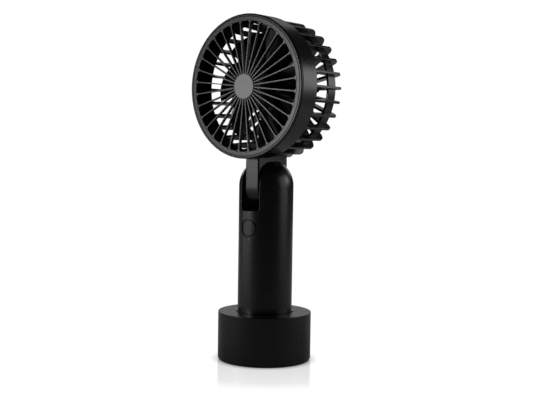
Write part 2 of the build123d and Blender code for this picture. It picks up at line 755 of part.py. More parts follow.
def cradle_screws():
    head_z = SLOT_Z - CRADLE_STEP + FIT_GAP
    return Compound(children=[small_screw(x, BOSS_Y, head_z, up=False) for x in (-BOSS_X, BOSS_X)])


def cap_screws():
    head_z = FOOT_Z + SMALL_HEAD_T + FIT_GAP
    return Compound(children=[small_screw(x, BOSS_Y, head_z, up=True) for x in (-BOSS_X, BOSS_X)])


def inner_chassis():
    """Spine behind the cell, a shelf at each end of it, and bosses for the screws."""
    low = FOOT_Z + BOTTOM_CAP_T + FIT_GAP
    high = SLOT_Z - CRADLE_STEP - CRADLE_FLOOR_T - FIT_GAP
    room = rod_z(CHASSIS_R, low, high)
    spine = block((-SPINE_HALF, SPINE_HALF), (SPINE_Y, SPINE_Y + SPINE_T), (low, high))
    cell_top = CELL_Z + CELL_LENGTH + CELL_NOSE_T + TAB_T + FIT_GAP
    wide = HANDLE_R
    shelf_low = block((-wide, wide), (-wide, wide), (low, low + SHELF_T))
    shelf_front = BUTTON_BOARD_Y + BUTTON_BOARD_T + MOVING_GAP
    shelf_high = block((-wide, wide), (shelf_front, SPINE_Y), (cell_top, cell_top + SHELF_T))
    chassis = spine + shelf_low + shelf_high
    boss_length = SMALL_SCREW_LENGTH + TIP_GAP
    bosses = [(low, low + boss_length), (high - boss_length, high)]
    for x in (-BOSS_X, BOSS_X):
        for boss in bosses:
            chassis += rod_z(SMALL_BOSS_R, *boss, x=x, y=BOSS_Y)
    chassis = chassis & room
    for x in (-STANDOFF_X, STANDOFF_X):
        for z in STANDOFF_ZS:
            post = rod_y(STANDOFF_R, SPINE_Y + SPINE_T / 2, MAIN_BOARD_Y - FIT_GAP, x=x, z=z)
            chassis += post
    chassis -= rod_z(CELL_R + MOVING_GAP, CELL_Z - TAB_T - FIT_GAP, cell_top - TAB_T, y=CELL_Y)
    for x in (-BOSS_X, BOSS_X):
        for boss in bosses:
            chassis -= rod_z(SMALL_SCREW_R + FIT_GAP, *boss, x=x, y=BOSS_Y)
    window = (LEAD_WINDOW_X - LEAD_WINDOW_HALF, LEAD_WINDOW_X + LEAD_WINDOW_HALF)
    window_z = (LEAD_WINDOW_Z - LEAD_WINDOW_HALF, LEAD_WINDOW_Z + LEAD_WINDOW_HALF)
    return chassis - block(window, (SPINE_Y - PAST, SPINE_Y + SPINE_T + PAST), window_z)


def battery_cell():
    """Round lithium cell with its raised positive end."""
    top = CELL_Z + CELL_LENGTH
    body = rod_z(CELL_R, CELL_Z, top, y=CELL_Y)
    body = fillet(body.edges().filter_by(GeomType.CIRCLE), CELL_ROUND)
    return body + rod_z(CELL_NOSE_R, top, top + CELL_NOSE_T, y=CELL_Y)


def battery_tabs():
    top = CELL_Z + CELL_LENGTH + CELL_NOSE_T
    reach = (CELL_Y - TAB_W / 2, SPINE_Y - MOVING_GAP)
    strips = [
        block((-TAB_W / 2, TAB_W / 2), reach, (low, low + TAB_T)) for low in (CELL_Z - TAB_T, top)
    ]
    return Compound(children=strips)


def main_board():
    return block(
        (-MAIN_BOARD_HALF, MAIN_BOARD_HALF),
        (MAIN_BOARD_Y, MAIN_BOARD_Y + MAIN_BOARD_T),
        (MAIN_BOARD_LOW_Z, MAIN_BOARD_HIGH_Z),
    )


def board_parts():
    """Two chips, the power coil and two capacitors."""
    back = MAIN_BOARD_Y + MAIN_BOARD_T
    solids = [rod_y(CAPACITOR_R, back, back + CAPACITOR_T, x=x, z=CAPACITOR_Z) for x in CAPACITOR_XS]
    for x, z, width, height, depth in (CHARGE_CHIP, CONTROL_CHIP, POWER_COIL):
        solids.append(Pos(x, back + depth / 2, z) * Box(width, depth, height))
    return Compound(children=solids)


def usb_socket():
    """Pressed steel shell of the charging port, closed behind."""
    front = MAIN_BOARD_Y + MAIN_BOARD_T
    shell = port_prism(PORT_W, PORT_H, front, PORT_BACK_Y)
    skin = PORT_SKIN * 2
    return shell - port_prism(PORT_W - skin, PORT_H - skin, front + PORT_SKIN, PORT_BACK_Y)


def usb_tongue():
    front = MAIN_BOARD_Y + MAIN_BOARD_T + PORT_SKIN
    half = TONGUE_W / 2
    return block(
        (-half, half), (front, PORT_BACK_Y - PORT_SKIN * 2), (PORT_Z - TONGUE_H / 2, PORT_Z + TONGUE_H / 2)
    )


def button_board():
    return block(
        (-BUTTON_BOARD_HALF, BUTTON_BOARD_HALF),
        (BUTTON_BOARD_Y, BUTTON_BOARD_Y + BUTTON_BOARD_T),
        (BUTTON_BOARD_LOW_Z, BUTTON_BOARD_HIGH_Z),
    )


def tact_switch():
    body = block(
        (-SWITCH_HALF, SWITCH_HALF),
        (SWITCH_FRONT_Y, BUTTON_BOARD_Y),
        (BUTTON_Z - SWITCH_HALF, BUTTON_Z + SWITCH_HALF),
    )
    return body - rod_y(PLUNGER_R + FIT_GAP * 2, SWITCH_FRONT_Y, SWITCH_FRONT_Y + SWITCH_WELL_T, z=BUTTON_Z)


def switch_plunger():
    front = BUTTON_FLANGE_Y + BUTTON_FLANGE_T + FIT_GAP
    return rod_y(PLUNGER_R, front, PLUNGER_BACK_Y, z=BUTTON_Z)


def power_button():
    """Round cap whose face follows the handle, with the flange that keeps it in."""
    cap = rod_y(BUTTON_R, -HANDLE_R - PAST, BUTTON_FLANGE_Y, z=BUTTON_Z)
    cap = cap & rod_z(HANDLE_R - BUTTON_SINK, BUTTON_Z - HANDLE_R, BUTTON_Z + HANDLE_R)
    cap = fillet(cap.edges().sort_by(Axis.Y)[0], BUTTON_ROUND)
    return cap + rod_y(BUTTON_FLANGE_R, BUTTON_FLANGE_Y, BUTTON_FLANGE_Y + BUTTON_FLANGE_T, z=BUTTON_Z)


def status_led():
    depth = (BUTTON_BOARD_Y - LED_T, BUTTON_BOARD_Y)
    return block((-LED_HALF, LED_HALF), depth, (LIGHT_Z - LED_HALF, LIGHT_Z + LED_HALF))


def light_pipe():
    return rod_y(LIGHT_R, -HANDLE_R + BUTTON_SINK, BUTTON_BOARD_Y - LED_T - FIT_GAP, z=LIGHT_Z)


def handle_leads():
    """Two leads: up from the main board, through the spine's window, and round into the axle."""
    back_y = MAIN_BOARD_Y + MAIN_BOARD_T + LEAD_R + MOVING_GAP
    solids = []
    for shift in (-LEAD_X, LEAD_X):
        window_z = LEAD_WINDOW_Z + shift
        points = [
            (LEAD_BOARD_X + shift, back_y, MAIN_BOARD_HIGH_Z - LEAD_TAIL),
            (LEAD_BOARD_X + shift, back_y, window_z),
            (BOSS_X + shift, -BOSS_Y, window_z),
            (BOSS_X + shift, -BOSS_Y, LEAD_TURN_Z),
            (LEAD_TURN_X, shift, PIVOT_Z),
            (AXLE_R, shift, PIVOT_Z),
        ]
        solids.append(lead(points))
    return Compound(children=solids)


# Foot of the handle


def bottom_cap():
    cap = rod_z(HANDLE_R - HANDLE_WALL - FIT_GAP, FOOT_Z, FOOT_Z + BOTTOM_CAP_T)
    for x in (-BOSS_X, BOSS_X):
        cap -= rod_z(SMALL_SCREW_R + FIT_GAP, FOOT_Z, FOOT_Z + BOTTOM_CAP_T, x=x, y=BOSS_Y)
        cap -= rod_z(SMALL_HEAD_R + FIT_GAP, FOOT_Z, FOOT_Z + SMALL_HEAD_T + FIT_GAP, x=x, y=BOSS_Y)
    return cap


# Base


def base_shell():
    """Turned cup with the socket for the handle's foot and three bosses for the screws."""
    socket_r = HANDLE_R + MOVING_GAP
    floor_top = FOOT_Z - REST_GAP
    floor_low = floor_top - SOCKET_FLOOR_T
    shell = rod_z(BASE_R, PAD_T, BASE_TOP_Z)
    shell = chamfer(shell.edges().group_by(Axis.Z)[-1], BASE_EDGE)
    hollow = rod_z(BASE_R - BASE_WALL, PAD_T, BASE_TOP_Z - BASE_WALL)
    hollow -= rod_z(socket_r + SOCKET_WALL, floor_low, BASE_TOP_Z)
    for x, y in polar(BASE_BOSS_PCR, BASE_SCREWS):
        hollow -= rod_z(BASE_BOSS_R, PAD_T + PLATE_T + FIT_GAP, BASE_TOP_Z, x=x, y=y)
    shell -= hollow
    shell -= rod_z(socket_r, floor_top, BASE_TOP_Z)
    mouth = Pos(0, 0, BASE_TOP_Z - SOCKET_MOUTH / 2)
    shell -= mouth * Cone(socket_r, socket_r + SOCKET_MOUTH, SOCKET_MOUTH)
    for x, y in polar(BASE_BOSS_PCR, BASE_SCREWS):
        hole_top = PAD_T + BASE_SCREW_HEAD_T + BASE_SCREW_LENGTH + TIP_GAP
        shell -= rod_z(BASE_SCREW_R + FIT_GAP, PAD_T, hole_top, x=x, y=y)
    return shell


def base_weight():
    inner = HANDLE_R + MOVING_GAP + SOCKET_WALL + WEIGHT_GAP
    outer = BASE_R - BASE_WALL - WEIGHT_GAP
    low = PAD_T + PLATE_T + FIT_GAP
    weight = rod_z(outer, low, WEIGHT_TOP_Z) - rod_z(inner, low, WEIGHT_TOP_Z)
    for x, y in polar(BASE_BOSS_PCR, BASE_SCREWS):
        weight -= rod_z(BASE_BOSS_R + WEIGHT_GAP, low, WEIGHT_TOP_Z, x=x, y=y)
    return weight


def base_plate():
    plate = rod_z(BASE_R - BASE_WALL - FIT_GAP * 2, PAD_T, PAD_T + PLATE_T)
    for x, y in polar(BASE_BOSS_PCR, BASE_SCREWS):
        plate -= rod_z(BASE_SCREW_R + FIT_GAP, PAD_T, PAD_T + PLATE_T, x=x, y=y)
        plate -= rod_z(BASE_SCREW_HEAD_R + FIT_GAP, PAD_T, PAD_T + BASE_SCREW_HEAD_T, x=x, y=y)
    return plate


def base_screws():
    head_top = PAD_T + BASE_SCREW_HEAD_T - FIT_GAP
    solids = []
    for x, y in polar(BASE_BOSS_PCR, BASE_SCREWS):
        screw = rod_z(BASE_SCREW_HEAD_R, PAD_T, head_top, x=x, y=y)
        screw += rod_z(BASE_SCREW_R, PAD_T, head_top + BASE_SCREW_LENGTH, x=x, y=y)
        solids.append(screw - Pos(x, y, PAD_T) * cross_recess(BASE_SCREW_HEAD_R, BASE_SCREW_HEAD_T))
    return Compound(children=solids)


def base_pad():
    return rod_z(PAD_R, 0, PAD_T)


PIECES = (
    front_grille,
    grille_badge,
    head_shell,
    rear_cap,
    impeller,
    rotor_cup,
    magnet_ring,
    motor_shaft,
    shaft_clip,
    motor_bearings,
    motor_mount,
    motor_screws,
    stator_core,
    stator_coils,
    motor_board,
    motor_leads,
    neck_arm,
    neck_screws,
    hinge_axle,
    hinge_nut,
    hinge_washers,
    handle_tube,
    hinge_cradle,
    cradle_screws,
    inner_chassis,
    battery_cell,
    battery_tabs,
    main_board,
    board_parts,
    usb_socket,
    usb_tongue,
    button_board,
    tact_switch,
    switch_plunger,
    power_button,
    status_led,
    light_pipe,
    handle_leads,
    bottom_cap,
    cap_screws,
    base_shell,
    base_weight,
    base_plate,
    base_screws,
    base_pad,
)

for piece in PIECES:
    export_step(piece(), f"parts/{piece.__name__}.step")
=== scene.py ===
# Hand-held fan standing in its round base. Metres, +Z up; the origin is the centre of the base's
# underside. The fan blows towards -Y, and +X is to the right of somebody who looks at the grille.
import math

import bmesh
import bpy
from mathutils import Matrix


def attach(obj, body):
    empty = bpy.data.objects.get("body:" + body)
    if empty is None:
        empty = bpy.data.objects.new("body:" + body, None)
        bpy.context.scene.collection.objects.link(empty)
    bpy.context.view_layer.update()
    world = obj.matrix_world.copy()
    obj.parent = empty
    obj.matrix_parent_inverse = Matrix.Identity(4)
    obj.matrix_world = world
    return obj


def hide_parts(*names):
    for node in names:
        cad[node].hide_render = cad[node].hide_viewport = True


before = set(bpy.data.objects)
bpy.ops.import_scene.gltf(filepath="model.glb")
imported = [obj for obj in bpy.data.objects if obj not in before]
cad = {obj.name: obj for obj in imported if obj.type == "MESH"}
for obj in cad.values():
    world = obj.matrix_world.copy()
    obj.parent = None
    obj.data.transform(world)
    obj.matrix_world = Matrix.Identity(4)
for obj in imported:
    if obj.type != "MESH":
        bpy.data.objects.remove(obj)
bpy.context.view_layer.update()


# Foot pad: a plain disc of soft black rubber under the base. It is glued on, and keeps the fan from
# sliding on the table.
MM = 0.001
DUST_COLOUR = (0.3, 0.29, 0.27)


def add(tree, kind, inputs=None, **settings):
    """One node in a tree. Its inputs are given by name or place, as values or as sockets to join."""
    made = tree.nodes.new(kind)
    for key, value in settings.items():
        setattr(made, key, value)
    for key, value in (inputs or {}).items():
        if isinstance(value, bpy.types.NodeSocket):
            tree.links.new(value, made.inputs[key])
        else:
            made.inputs[key].default_value = value
    return made


def calc(tree, operation, *values):
    """The output of one Math node."""
    return add(tree, "ShaderNodeMath", dict(enumerate(values)), operation=operation).outputs[0]


def own_place(tree):
    """Where a point is on its object, in metres."""
    return add(tree, "ShaderNodeTexCoord").outputs["Object"]


def noise(tree, place, scale, detail=2.0, distortion=0.0):
    """The value of one Noise Texture."""
    inputs = {"Vector": place, "Scale": scale, "Detail": detail, "Distortion": distortion}
    return add(tree, "ShaderNodeTexNoise", inputs).outputs[0]


def mask(tree, value, low, high):
    """0 where the value is at low, 1 where it is at high."""
    ends = {"Value": value, "From Min": low, "From Max": high}
    return add(tree, "ShaderNodeMapRange", ends).outputs[0]


def between(tree, value, low, high):
    """A value from 0 to 1 spread from low to high."""
    spread = {"Value": value, "To Min": low, "To Max": high}
    return add(tree, "ShaderNodeMapRange", spread).outputs[0]


def dye(tree, share, plain, marked):
    """A colour between two, by a mask. The plain one may be a colour or a socket."""
    if not isinstance(plain, bpy.types.NodeSocket):
        plain = (*plain, 1.0)
    ends = {0: share, 6: plain, 7: (*marked, 1.0)}
    return add(tree, "ShaderNodeMix", ends, data_type="RGBA").outputs[2]


def emboss(tree, shader, height, strength, depth):
    """Gives a shader a raised surface, from a height that varies over it."""
    bump = add(tree, "ShaderNodeBump", {"Height": height, "Strength": strength, "Distance": depth})
    tree.links.new(bump.outputs[0], shader.inputs["Normal"])


def new_material(name):
    """An empty material, with its tree and its shader."""
    made = bpy.data.materials.new(name)
    made.use_nodes = True
    return made, made.node_tree, made.node_tree.nodes["Principled BSDF"]


def new_group(name, kind, inputs, outputs):
    """Empty node group with its named sockets, and its input and output nodes."""
    tree = bpy.data.node_groups.new(name, kind)
    for socket, socket_type, value in inputs:
        made = tree.interface.new_socket(socket, in_out="INPUT", socket_type=socket_type)
        if value is not None:
            made.default_value = value
    for socket, socket_type in outputs:
        tree.interface.new_socket(socket, in_out="OUTPUT", socket_type=socket_type)
    return tree, tree.nodes.new("NodeGroupInput"), tree.nodes.new("NodeGroupOutput")


def mould_grain():
    """Spark-eroded grain of a mould, and the faint clouding of the plastic that filled it."""
    tree, given, made = new_group(
        "mould grain",
        "ShaderNodeTree",
        [("Grain Size", "NodeSocketFloat", 0.18 * MM), ("Cloud Size", "NodeSocketFloat", 12.0 * MM)],
        [("Height", "NodeSocketFloat"), ("Cloud", "NodeSocketFloat")],
    )
    skin_share = 0.6
    place = own_place(tree)
    fine = calc(tree, "DIVIDE", 1.0, given.outputs["Grain Size"])
    wide = calc(tree, "DIVIDE", 1.0, given.outputs["Cloud Size"])
    pit_inputs = {"Vector": place, "Scale": fine, "Smoothness": 0.6}
    pits = add(tree, "ShaderNodeTexVoronoi", pit_inputs, feature="SMOOTH_F1").outputs["Distance"]
    skin = noise(tree, place, scale=fine, detail=3.0)
    cloud = noise(tree, place, scale=wide, detail=4.0)
    height = calc(tree, "MULTIPLY_ADD", skin, skin_share, pits)
    tree.links.new(height, made.inputs["Height"])
    tree.links.new(cloud, made.inputs["Cloud"])
    return tree


def use_marks_and_edge_highlight():
    """Edge mask for polished wear and a painted edge highlight, dust that settles on what faces up, and the
    smudges that hands leave.
    """
    tree, given, made = new_group(
        "use marks and edge highlight",
        "ShaderNodeTree",
        [("Edge Width", "NodeSocketFloat", 0.3 * MM)],
        [("Edge", "NodeSocketFloat"), ("Dust", "NodeSocketFloat"), ("Smudge", "NodeSocketFloat")],
    )
    place = own_place(tree)
    facing = add(tree, "ShaderNodeNewGeometry").outputs["Normal"]
    rounded = add(tree, "ShaderNodeBevel", {"Radius": given.outputs["Edge Width"]}, samples=4)
    both = {0: rounded.outputs[0], 1: facing}
    likeness = add(tree, "ShaderNodeVectorMath", both, operation="DOT_PRODUCT").outputs["Value"]
    edge = mask(tree, likeness, low=0.985, high=0.85)
    patch = mask(tree, noise(tree, place, scale=420.0, detail=5.0), low=0.35, high=0.65)
    tree.links.new(calc(tree, "MULTIPLY", edge, patch), made.inputs["Edge"])
    up = add(tree, "ShaderNodeSeparateXYZ", {0: facing}).outputs["Z"]
    lying = mask(tree, up, low=0.55, high=0.98)
    speck = mask(tree, noise(tree, place, scale=1500.0, detail=6.0), low=0.5, high=0.75)
    tree.links.new(calc(tree, "MULTIPLY", lying, speck), made.inputs["Dust"])
    touch = noise(tree, place, scale=55.0, detail=6.0, distortion=0.8)
    tree.links.new(mask(tree, touch, low=0.42, high=0.72), made.inputs["Smudge"])
    return tree


grain_group = mould_grain()
marks_and_highlight_group = use_marks_and_edge_highlight()


def moulded(name, colour, roughness, grain=0.18 * MM, depth=0.012 * MM, wear_and_edge_highlight=0.35, dust=0.12):
    """Material of a moulded piece: clouded colour, grain, edges lightened as wear and as a painted
    highlight, a little dust.
    """
    made, tree, shader = new_material(name)
    skin = add(tree, "ShaderNodeGroup", {"Grain Size": grain}, node_tree=grain_group)
    marks = add(tree, "ShaderNodeGroup", node_tree=marks_and_highlight_group)
    deep = tuple(part * 0.8 for part in colour)
    pale = tuple(part * 1.25 for part in colour)
    # Edges are lighter in colour: partly rubbed wear, partly a painted highlight where rounded edges would
    # catch the light.
    worn_and_highlit = tuple(part * 2.2 + 0.025 for part in colour)
    ground = dye(tree, skin.outputs["Cloud"], deep, pale)
    edged = dye(tree, calc(tree, "MULTIPLY", marks.outputs["Edge"], wear_and_edge_highlight), ground, worn_and_highlit)
    dusty = dye(tree, calc(tree, "MULTIPLY", marks.outputs["Dust"], dust), edged, DUST_COLOUR)
    tree.links.new(dusty, shader.inputs["Base Color"])
    cloud_dulls = 0.05
    smudge_dulls = -0.03
    edge_dulls = -0.12 * wear_and_edge_highlight
    rough = calc(tree, "MULTIPLY_ADD", skin.outputs["Cloud"], cloud_dulls, roughness - cloud_dulls / 2)
    rough = calc(tree, "MULTIPLY_ADD", marks.outputs["Smudge"], smudge_dulls, rough)
    rough = calc(tree, "MULTIPLY_ADD", marks.outputs["Edge"], edge_dulls, rough)
    rough = calc(tree, "MULTIPLY_ADD", marks.outputs["Dust"], dust, rough)
    tree.links.new(rough, shader.inputs["Roughness"])
    emboss(tree, shader, skin.outputs["Height"], 0.5, depth)
    return made


def finish_with(name, material):
    """Gives a CAD piece, which stays as it is, its material."""
    slots = cad[name].data.materials
    slots.clear()
    slots.append(material)


rubber = moulded("foot rubber", (0.016, 0.016, 0.016), 0.75, grain=0.5 * MM, depth=0.04 * MM, dust=0.3)
finish_with("base_pad", rubber)


# Base plate: a black disc that closes the base from below. Three plated screws hold it and clamp the
# cast ring that makes the base too heavy to tip.
def metal(name, colour, roughness, lay=(1.0, 1.0, 1.0), size=0.2 * MM, depth=0.006 * MM):
    """Material of a metal piece: its colour, the lay of its tool marks, and a little tarnish."""
    made, tree, shader = new_material(name)
    shader.inputs["Metallic"].default_value = 1.0
    place = own_place(tree)
    turned = add(tree, "ShaderNodeMapping", {"Vector": place, "Scale": lay}).outputs[0]
    lines = noise(tree, turned, scale=1 / size, detail=4.0)
    tarnish = noise(tree, place, scale=260.0, detail=5.0)
    dull = tuple(part * 0.62 for part in colour)
    tree.links.new(dye(tree, tarnish, dull, colour), shader.inputs["Base Color"])
    rough = between(tree, lines, low=roughness - 0.08, high=roughness + 0.12)
    tree.links.new(rough, shader.inputs["Roughness"])
    emboss(tree, shader, lines, 0.6, depth)
    return made


inner_plastic = moulded("inner matte plastic", (0.02, 0.02, 0.02), 0.6, grain=0.3 * MM, wear_and_edge_highlight=0.15)
plated_steel = metal("plated steel", (0.62, 0.62, 0.63), 0.28)
cast_zinc = metal("cast zinc", (0.3, 0.3, 0.31), 0.55, size=0.8 * MM, depth=0.06 * MM)
finish_with("base_plate", inner_plastic)
finish_with("base_screws", plated_steel)
finish_with("base_weight", cast_zinc)


# Base: a deep cup of satin black plastic. Its socket holds the handle's foot, with a bevelled mouth
# that guides it in; the rim and the foot are rounded where the mould parts.
BASE_R = 29.99
BASE_WALL_IN_R = 27.8
BASE_FOOT_Z = 1.0
BASE_TOP_Z = 31.1
BASE_ROOF_Z = 28.9
SOCKET_MOUTH_R = 18.5
SOCKET_R = 17.8
SOCKET_OUT_R = 19.6
SOCKET_BEVEL_Z = 30.4
SOCKET_FLOOR_Z = 6.9
SOCKET_UNDER_Z = 5.1
satin = moulded("satin black plastic", (0.0026, 0.0026, 0.0028), 0.29, wear_and_edge_highlight=0.8)


def smooth_to(mesh, seam):
    """Smooth shading up to the seam angle in degrees."""
    mesh.polygons.foreach_set("use_smooth", [True] * len(mesh.polygons))
    mesh.set_sharp_from_angle(angle=math.radians(seam))


def mesh_object(name, corners, faces, material, seam=30.0):
    """Object from corners and faces, facing outwards, smooth up to the seam angle in degrees."""
    same_spot = 1e-7
    shape = bmesh.new()
    points = [shape.verts.new(corner) for corner in corners]
    for face in faces:
        shape.faces.new([points[i] for i in face])
    bmesh.ops.remove_doubles(shape, verts=shape.verts, dist=same_spot)
    bmesh.ops.dissolve_degenerate(shape, edges=shape.edges, dist=same_spot)
    bmesh.ops.recalc_face_normals(shape, faces=shape.faces)
    loose = [edge for edge in shape.edges if not edge.link_faces]
    bmesh.ops.delete(shape, geom=loose, context="EDGES")
    mesh = bpy.data.meshes.new(name)
    shape.to_mesh(mesh)
    shape.free()
    mesh.materials.append(material)
    made = bpy.data.objects.new(name, mesh)
    bpy.context.collection.objects.link(made)
    smooth_to(mesh, seam)
    return made


def lathe(name, outline, material, lying_at=None, steps=180):
    """Ring turned from an outline of (radius, place along the axis) in millimetres.

    It stands round Z, or lies along Y when it is given the height of its axis."""
    corners = []
    faces = []
    for step in range(steps):
        turn = math.tau * step / steps
        for radius, along in outline:
            x = radius * math.cos(turn) * MM
            side = radius * math.sin(turn) * MM
            if lying_at is None:
                corners.append((x, side, along * MM))
            else:
                corners.append((x, along * MM, lying_at + side))
    count = len(outline)
    for step in range(steps):
        here = step * count
        there = (step + 1) % steps * count
        for i in range(count):
            j = (i + 1) % count
            faces.append((here + i, here + j, there + j, there + i))
    return mesh_object(name, corners, faces, material)


def quarter(centre_r, centre_y, radius, sign, parts):
    """Points of a rounded outer corner, from its flat face round to its side."""
    turns = [math.radians(90.0 * i / parts) for i in range(parts + 1)]
    return [(centre_r + radius * math.sin(t), centre_y + sign * radius * math.cos(t)) for t in turns]


def round_edges(piece, width, steps=3, angle=30.0):
    """Small radius on every edge sharper than the angle, as a mould leaves it."""
    rounding = piece.modifiers.new("edge radius", "BEVEL")
    rounding.width = width * MM
    rounding.segments = steps
    rounding.limit_method = "ANGLE"
    rounding.angle_limit = math.radians(angle)
    rounding.harden_normals = True
    return piece


base_outline = [
    (BASE_R, BASE_FOOT_Z),
    (BASE_R, BASE_TOP_Z),
    (SOCKET_MOUTH_R, BASE_TOP_Z),
    (SOCKET_R, SOCKET_BEVEL_Z),
    (SOCKET_R, SOCKET_FLOOR_Z),
    (0.0, SOCKET_FLOOR_Z),
    (0.0, SOCKET_UNDER_Z),
    (SOCKET_OUT_R, SOCKET_UNDER_Z),
    (SOCKET_OUT_R, BASE_ROOF_Z),
    (BASE_WALL_IN_R, BASE_ROOF_Z),
    (BASE_WALL_IN_R, BASE_FOOT_Z),
]
base_cup = round_edges(lathe("base_cup", base_outline, satin, steps=216), 0.45, steps=4)
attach(base_cup, "base")
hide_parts("base_shell")


# Handle tube: satin black plastic, moulded in one piece with its domed top. The neck's slot runs
# through the top, and the front has a round well for the button and a hole for the light.
finish_with("handle_tube", satin)
finish_with("bottom_cap", satin)
finish_with("cap_screws", plated_steel)


# Inside the handle: a chassis that holds the lithium cell and the boards, with welded nickel tabs,
# two insulated leads for the motor, and the charging port's pressed steel shell.
def board(name, colour, track):
    """Lacquered circuit board with faint copper tracks under the green."""
    made, tree, shader = new_material(name)
    place = own_place(tree)
    grid = add(tree, "ShaderNodeTexVoronoi", {"Vector": place, "Scale": 420.0}, distance="CHEBYCHEV")
    tracks = mask(tree, grid.outputs[0], low=0.32, high=0.36)
    tree.links.new(dye(tree, tracks, colour, track), shader.inputs["Base Color"])
    weave = noise(tree, place, scale=3000.0)
    tree.links.new(between(tree, weave, low=0.25, high=0.4), shader.inputs["Roughness"])
    emboss(tree, shader, tracks, 0.4, 0.03 * MM)
    return made


cell_wrap = moulded("cell shrink wrap", (0.02, 0.09, 0.24), 0.3, grain=0.6 * MM, wear_and_edge_highlight=0.2)
green_board = board("lacquered board", (0.006, 0.07, 0.025), (0.02, 0.14, 0.05))
chip_resin = moulded("chip resin", (0.02, 0.02, 0.022), 0.5, grain=0.1 * MM, wear_and_edge_highlight=0.1)
lead_sheath = moulded("lead insulation", (0.35, 0.02, 0.015), 0.42, grain=0.2 * MM, wear_and_edge_highlight=0.1)
nickel = metal("nickel strip", (0.66, 0.64, 0.6), 0.25, lay=(1.0, 0.06, 1.0))
for name in ("inner_chassis", "hinge_cradle"):
    finish_with(name, inner_plastic)
for name in ("main_board", "button_board"):
    finish_with(name, green_board)
for name in ("board_parts", "usb_tongue", "tact_switch", "switch_plunger"):
    finish_with(name, chip_resin)
finish_with("battery_cell", cell_wrap)
finish_with("battery_tabs", nickel)
finish_with("usb_socket", nickel)
finish_with("handle_leads", lead_sheath)
finish_with("cradle_screws", plated_steel)


# Power button and its light: a round cap whose face follows the handle, in a shallow well, and a
# clear rod below it that carries the lamp's light to the skin.
def clear_rod(name):
    """Clear acrylic with a faint haze."""
    made, tree, shader = new_material(name)
    haze = noise(tree, own_place(tree), scale=1800.0, detail=3.0)
    tree.links.new(dye(tree, haze, (0.16, 0.17, 0.18), (0.3, 0.31, 0.33)), shader.inputs["Base Color"])
    tree.links.new(between(tree, haze, low=0.12, high=0.3), shader.inputs["Roughness"])
    return made


acrylic = clear_rod("clear acrylic")
button_plastic = moulded("button plastic", (0.009, 0.009, 0.0095), 0.3, grain=0.12 * MM)
finish_with("power_button", button_plastic)
finish_with("light_pipe", acrylic)
finish_with("status_led", acrylic)


# Hinge: a hollow steel axle through the neck, held by a nut, with a nylon washer on each side that
# gives the friction that holds the head at any tilt.
nylon = moulded("dark nylon", (0.03, 0.03, 0.03), 0.4, grain=0.2 * MM, wear_and_edge_highlight=0.1)
finish_with("hinge_axle", plated_steel)
finish_with("hinge_nut", plated_steel)
finish_with("hinge_washers", nylon)


# Neck: a flat bar with rounded edges that swings in the handle's slot. Two screws, driven from inside
# the cage, hold it under the drum.
finish_with("neck_arm", satin)
finish_with("neck_screws", plated_steel)


# Saddle: the block under the drum that the neck is screwed to. It is moulded in one with the drum,
# its upright corners are rounded, and a thin lip runs forward under the drum's front.
SADDLE_HALF_X = 5.6
SADDLE_HALF_Y = 14.7
SADDLE_LOW_Z = 128.9
SADDLE_TOP_Z = 134.4
SADDLE_LIP_Z = 130.2
SADDLE_LIP_Y = -8.7
SADDLE_CORNER_R = 1.2


def prism_faces(count):
    """Faces of a bar between two outlines of as many corners each."""
    faces = [tuple(range(count)), tuple(range(count, 2 * count))]
    for i in range(count):
        j = (i + 1) % count
        faces.append((i, j, count + j, count + i))
    return faces


saddle_outline = [
    (-SADDLE_HALF_Y, SADDLE_LOW_Z),
    (SADDLE_HALF_Y, SADDLE_LOW_Z),
    (SADDLE_HALF_Y, SADDLE_TOP_Z),
    (SADDLE_LIP_Y, SADDLE_TOP_Z),
    (SADDLE_LIP_Y, SADDLE_LIP_Z),
    (-SADDLE_HALF_Y, SADDLE_LIP_Z),
]
saddle_sides = (-SADDLE_HALF_X, SADDLE_HALF_X)
saddle_corners = [(x * MM, y * MM, z * MM) for x in saddle_sides for y, z in saddle_outline]
saddle = mesh_object("drum_saddle", saddle_corners, prism_faces(len(saddle_outline)), satin)
shape = bmesh.new()
shape.from_mesh(saddle.data)
upright = []
for edge in shape.edges:
    foot, head = edge.verts
    at_an_end = abs(abs(foot.co.y) - SADDLE_HALF_Y * MM) < 0.01 * MM
    if at_an_end and abs(foot.co.z - head.co.z) > MM:
        upright.append(edge)
bmesh.ops.bevel(
    shape, geom=upright, offset=SADDLE_CORNER_R * MM, segments=6, profile=0.5, affect="EDGES"
)
shape.to_mesh(saddle.data)
shape.free()
smooth_to(saddle.data, 30.0)
round_edges(saddle, 0.15, steps=2, angle=50.0)
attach(saddle, "head")
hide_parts("head_shell")


# Drum: the short satin black tube that the impeller turns in, with a flange inside its back edge that
# the rear fins grow from.
FAN_Z = 174.3 * MM
HEAD_R = 45.0
DRUM_IN_R = 43.1
DRUM_FRONT_Y = -22.1
DRUM_BACK_Y = -8.0
FLANGE_IN_R = 41.0
FLANGE_FRONT_Y = -9.4
drum_outline = [
    (DRUM_IN_R, DRUM_FRONT_Y),
    (HEAD_R, DRUM_FRONT_Y),
    (HEAD_R, DRUM_BACK_Y),
    (FLANGE_IN_R, DRUM_BACK_Y),
    (FLANGE_IN_R, FLANGE_FRONT_Y),
    (DRUM_IN_R, FLANGE_FRONT_Y),
]
drum = round_edges(lathe("drum", drum_outline, satin, lying_at=FAN_Z, steps=240), 0.3)
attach(drum, "head")
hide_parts("head_shell")


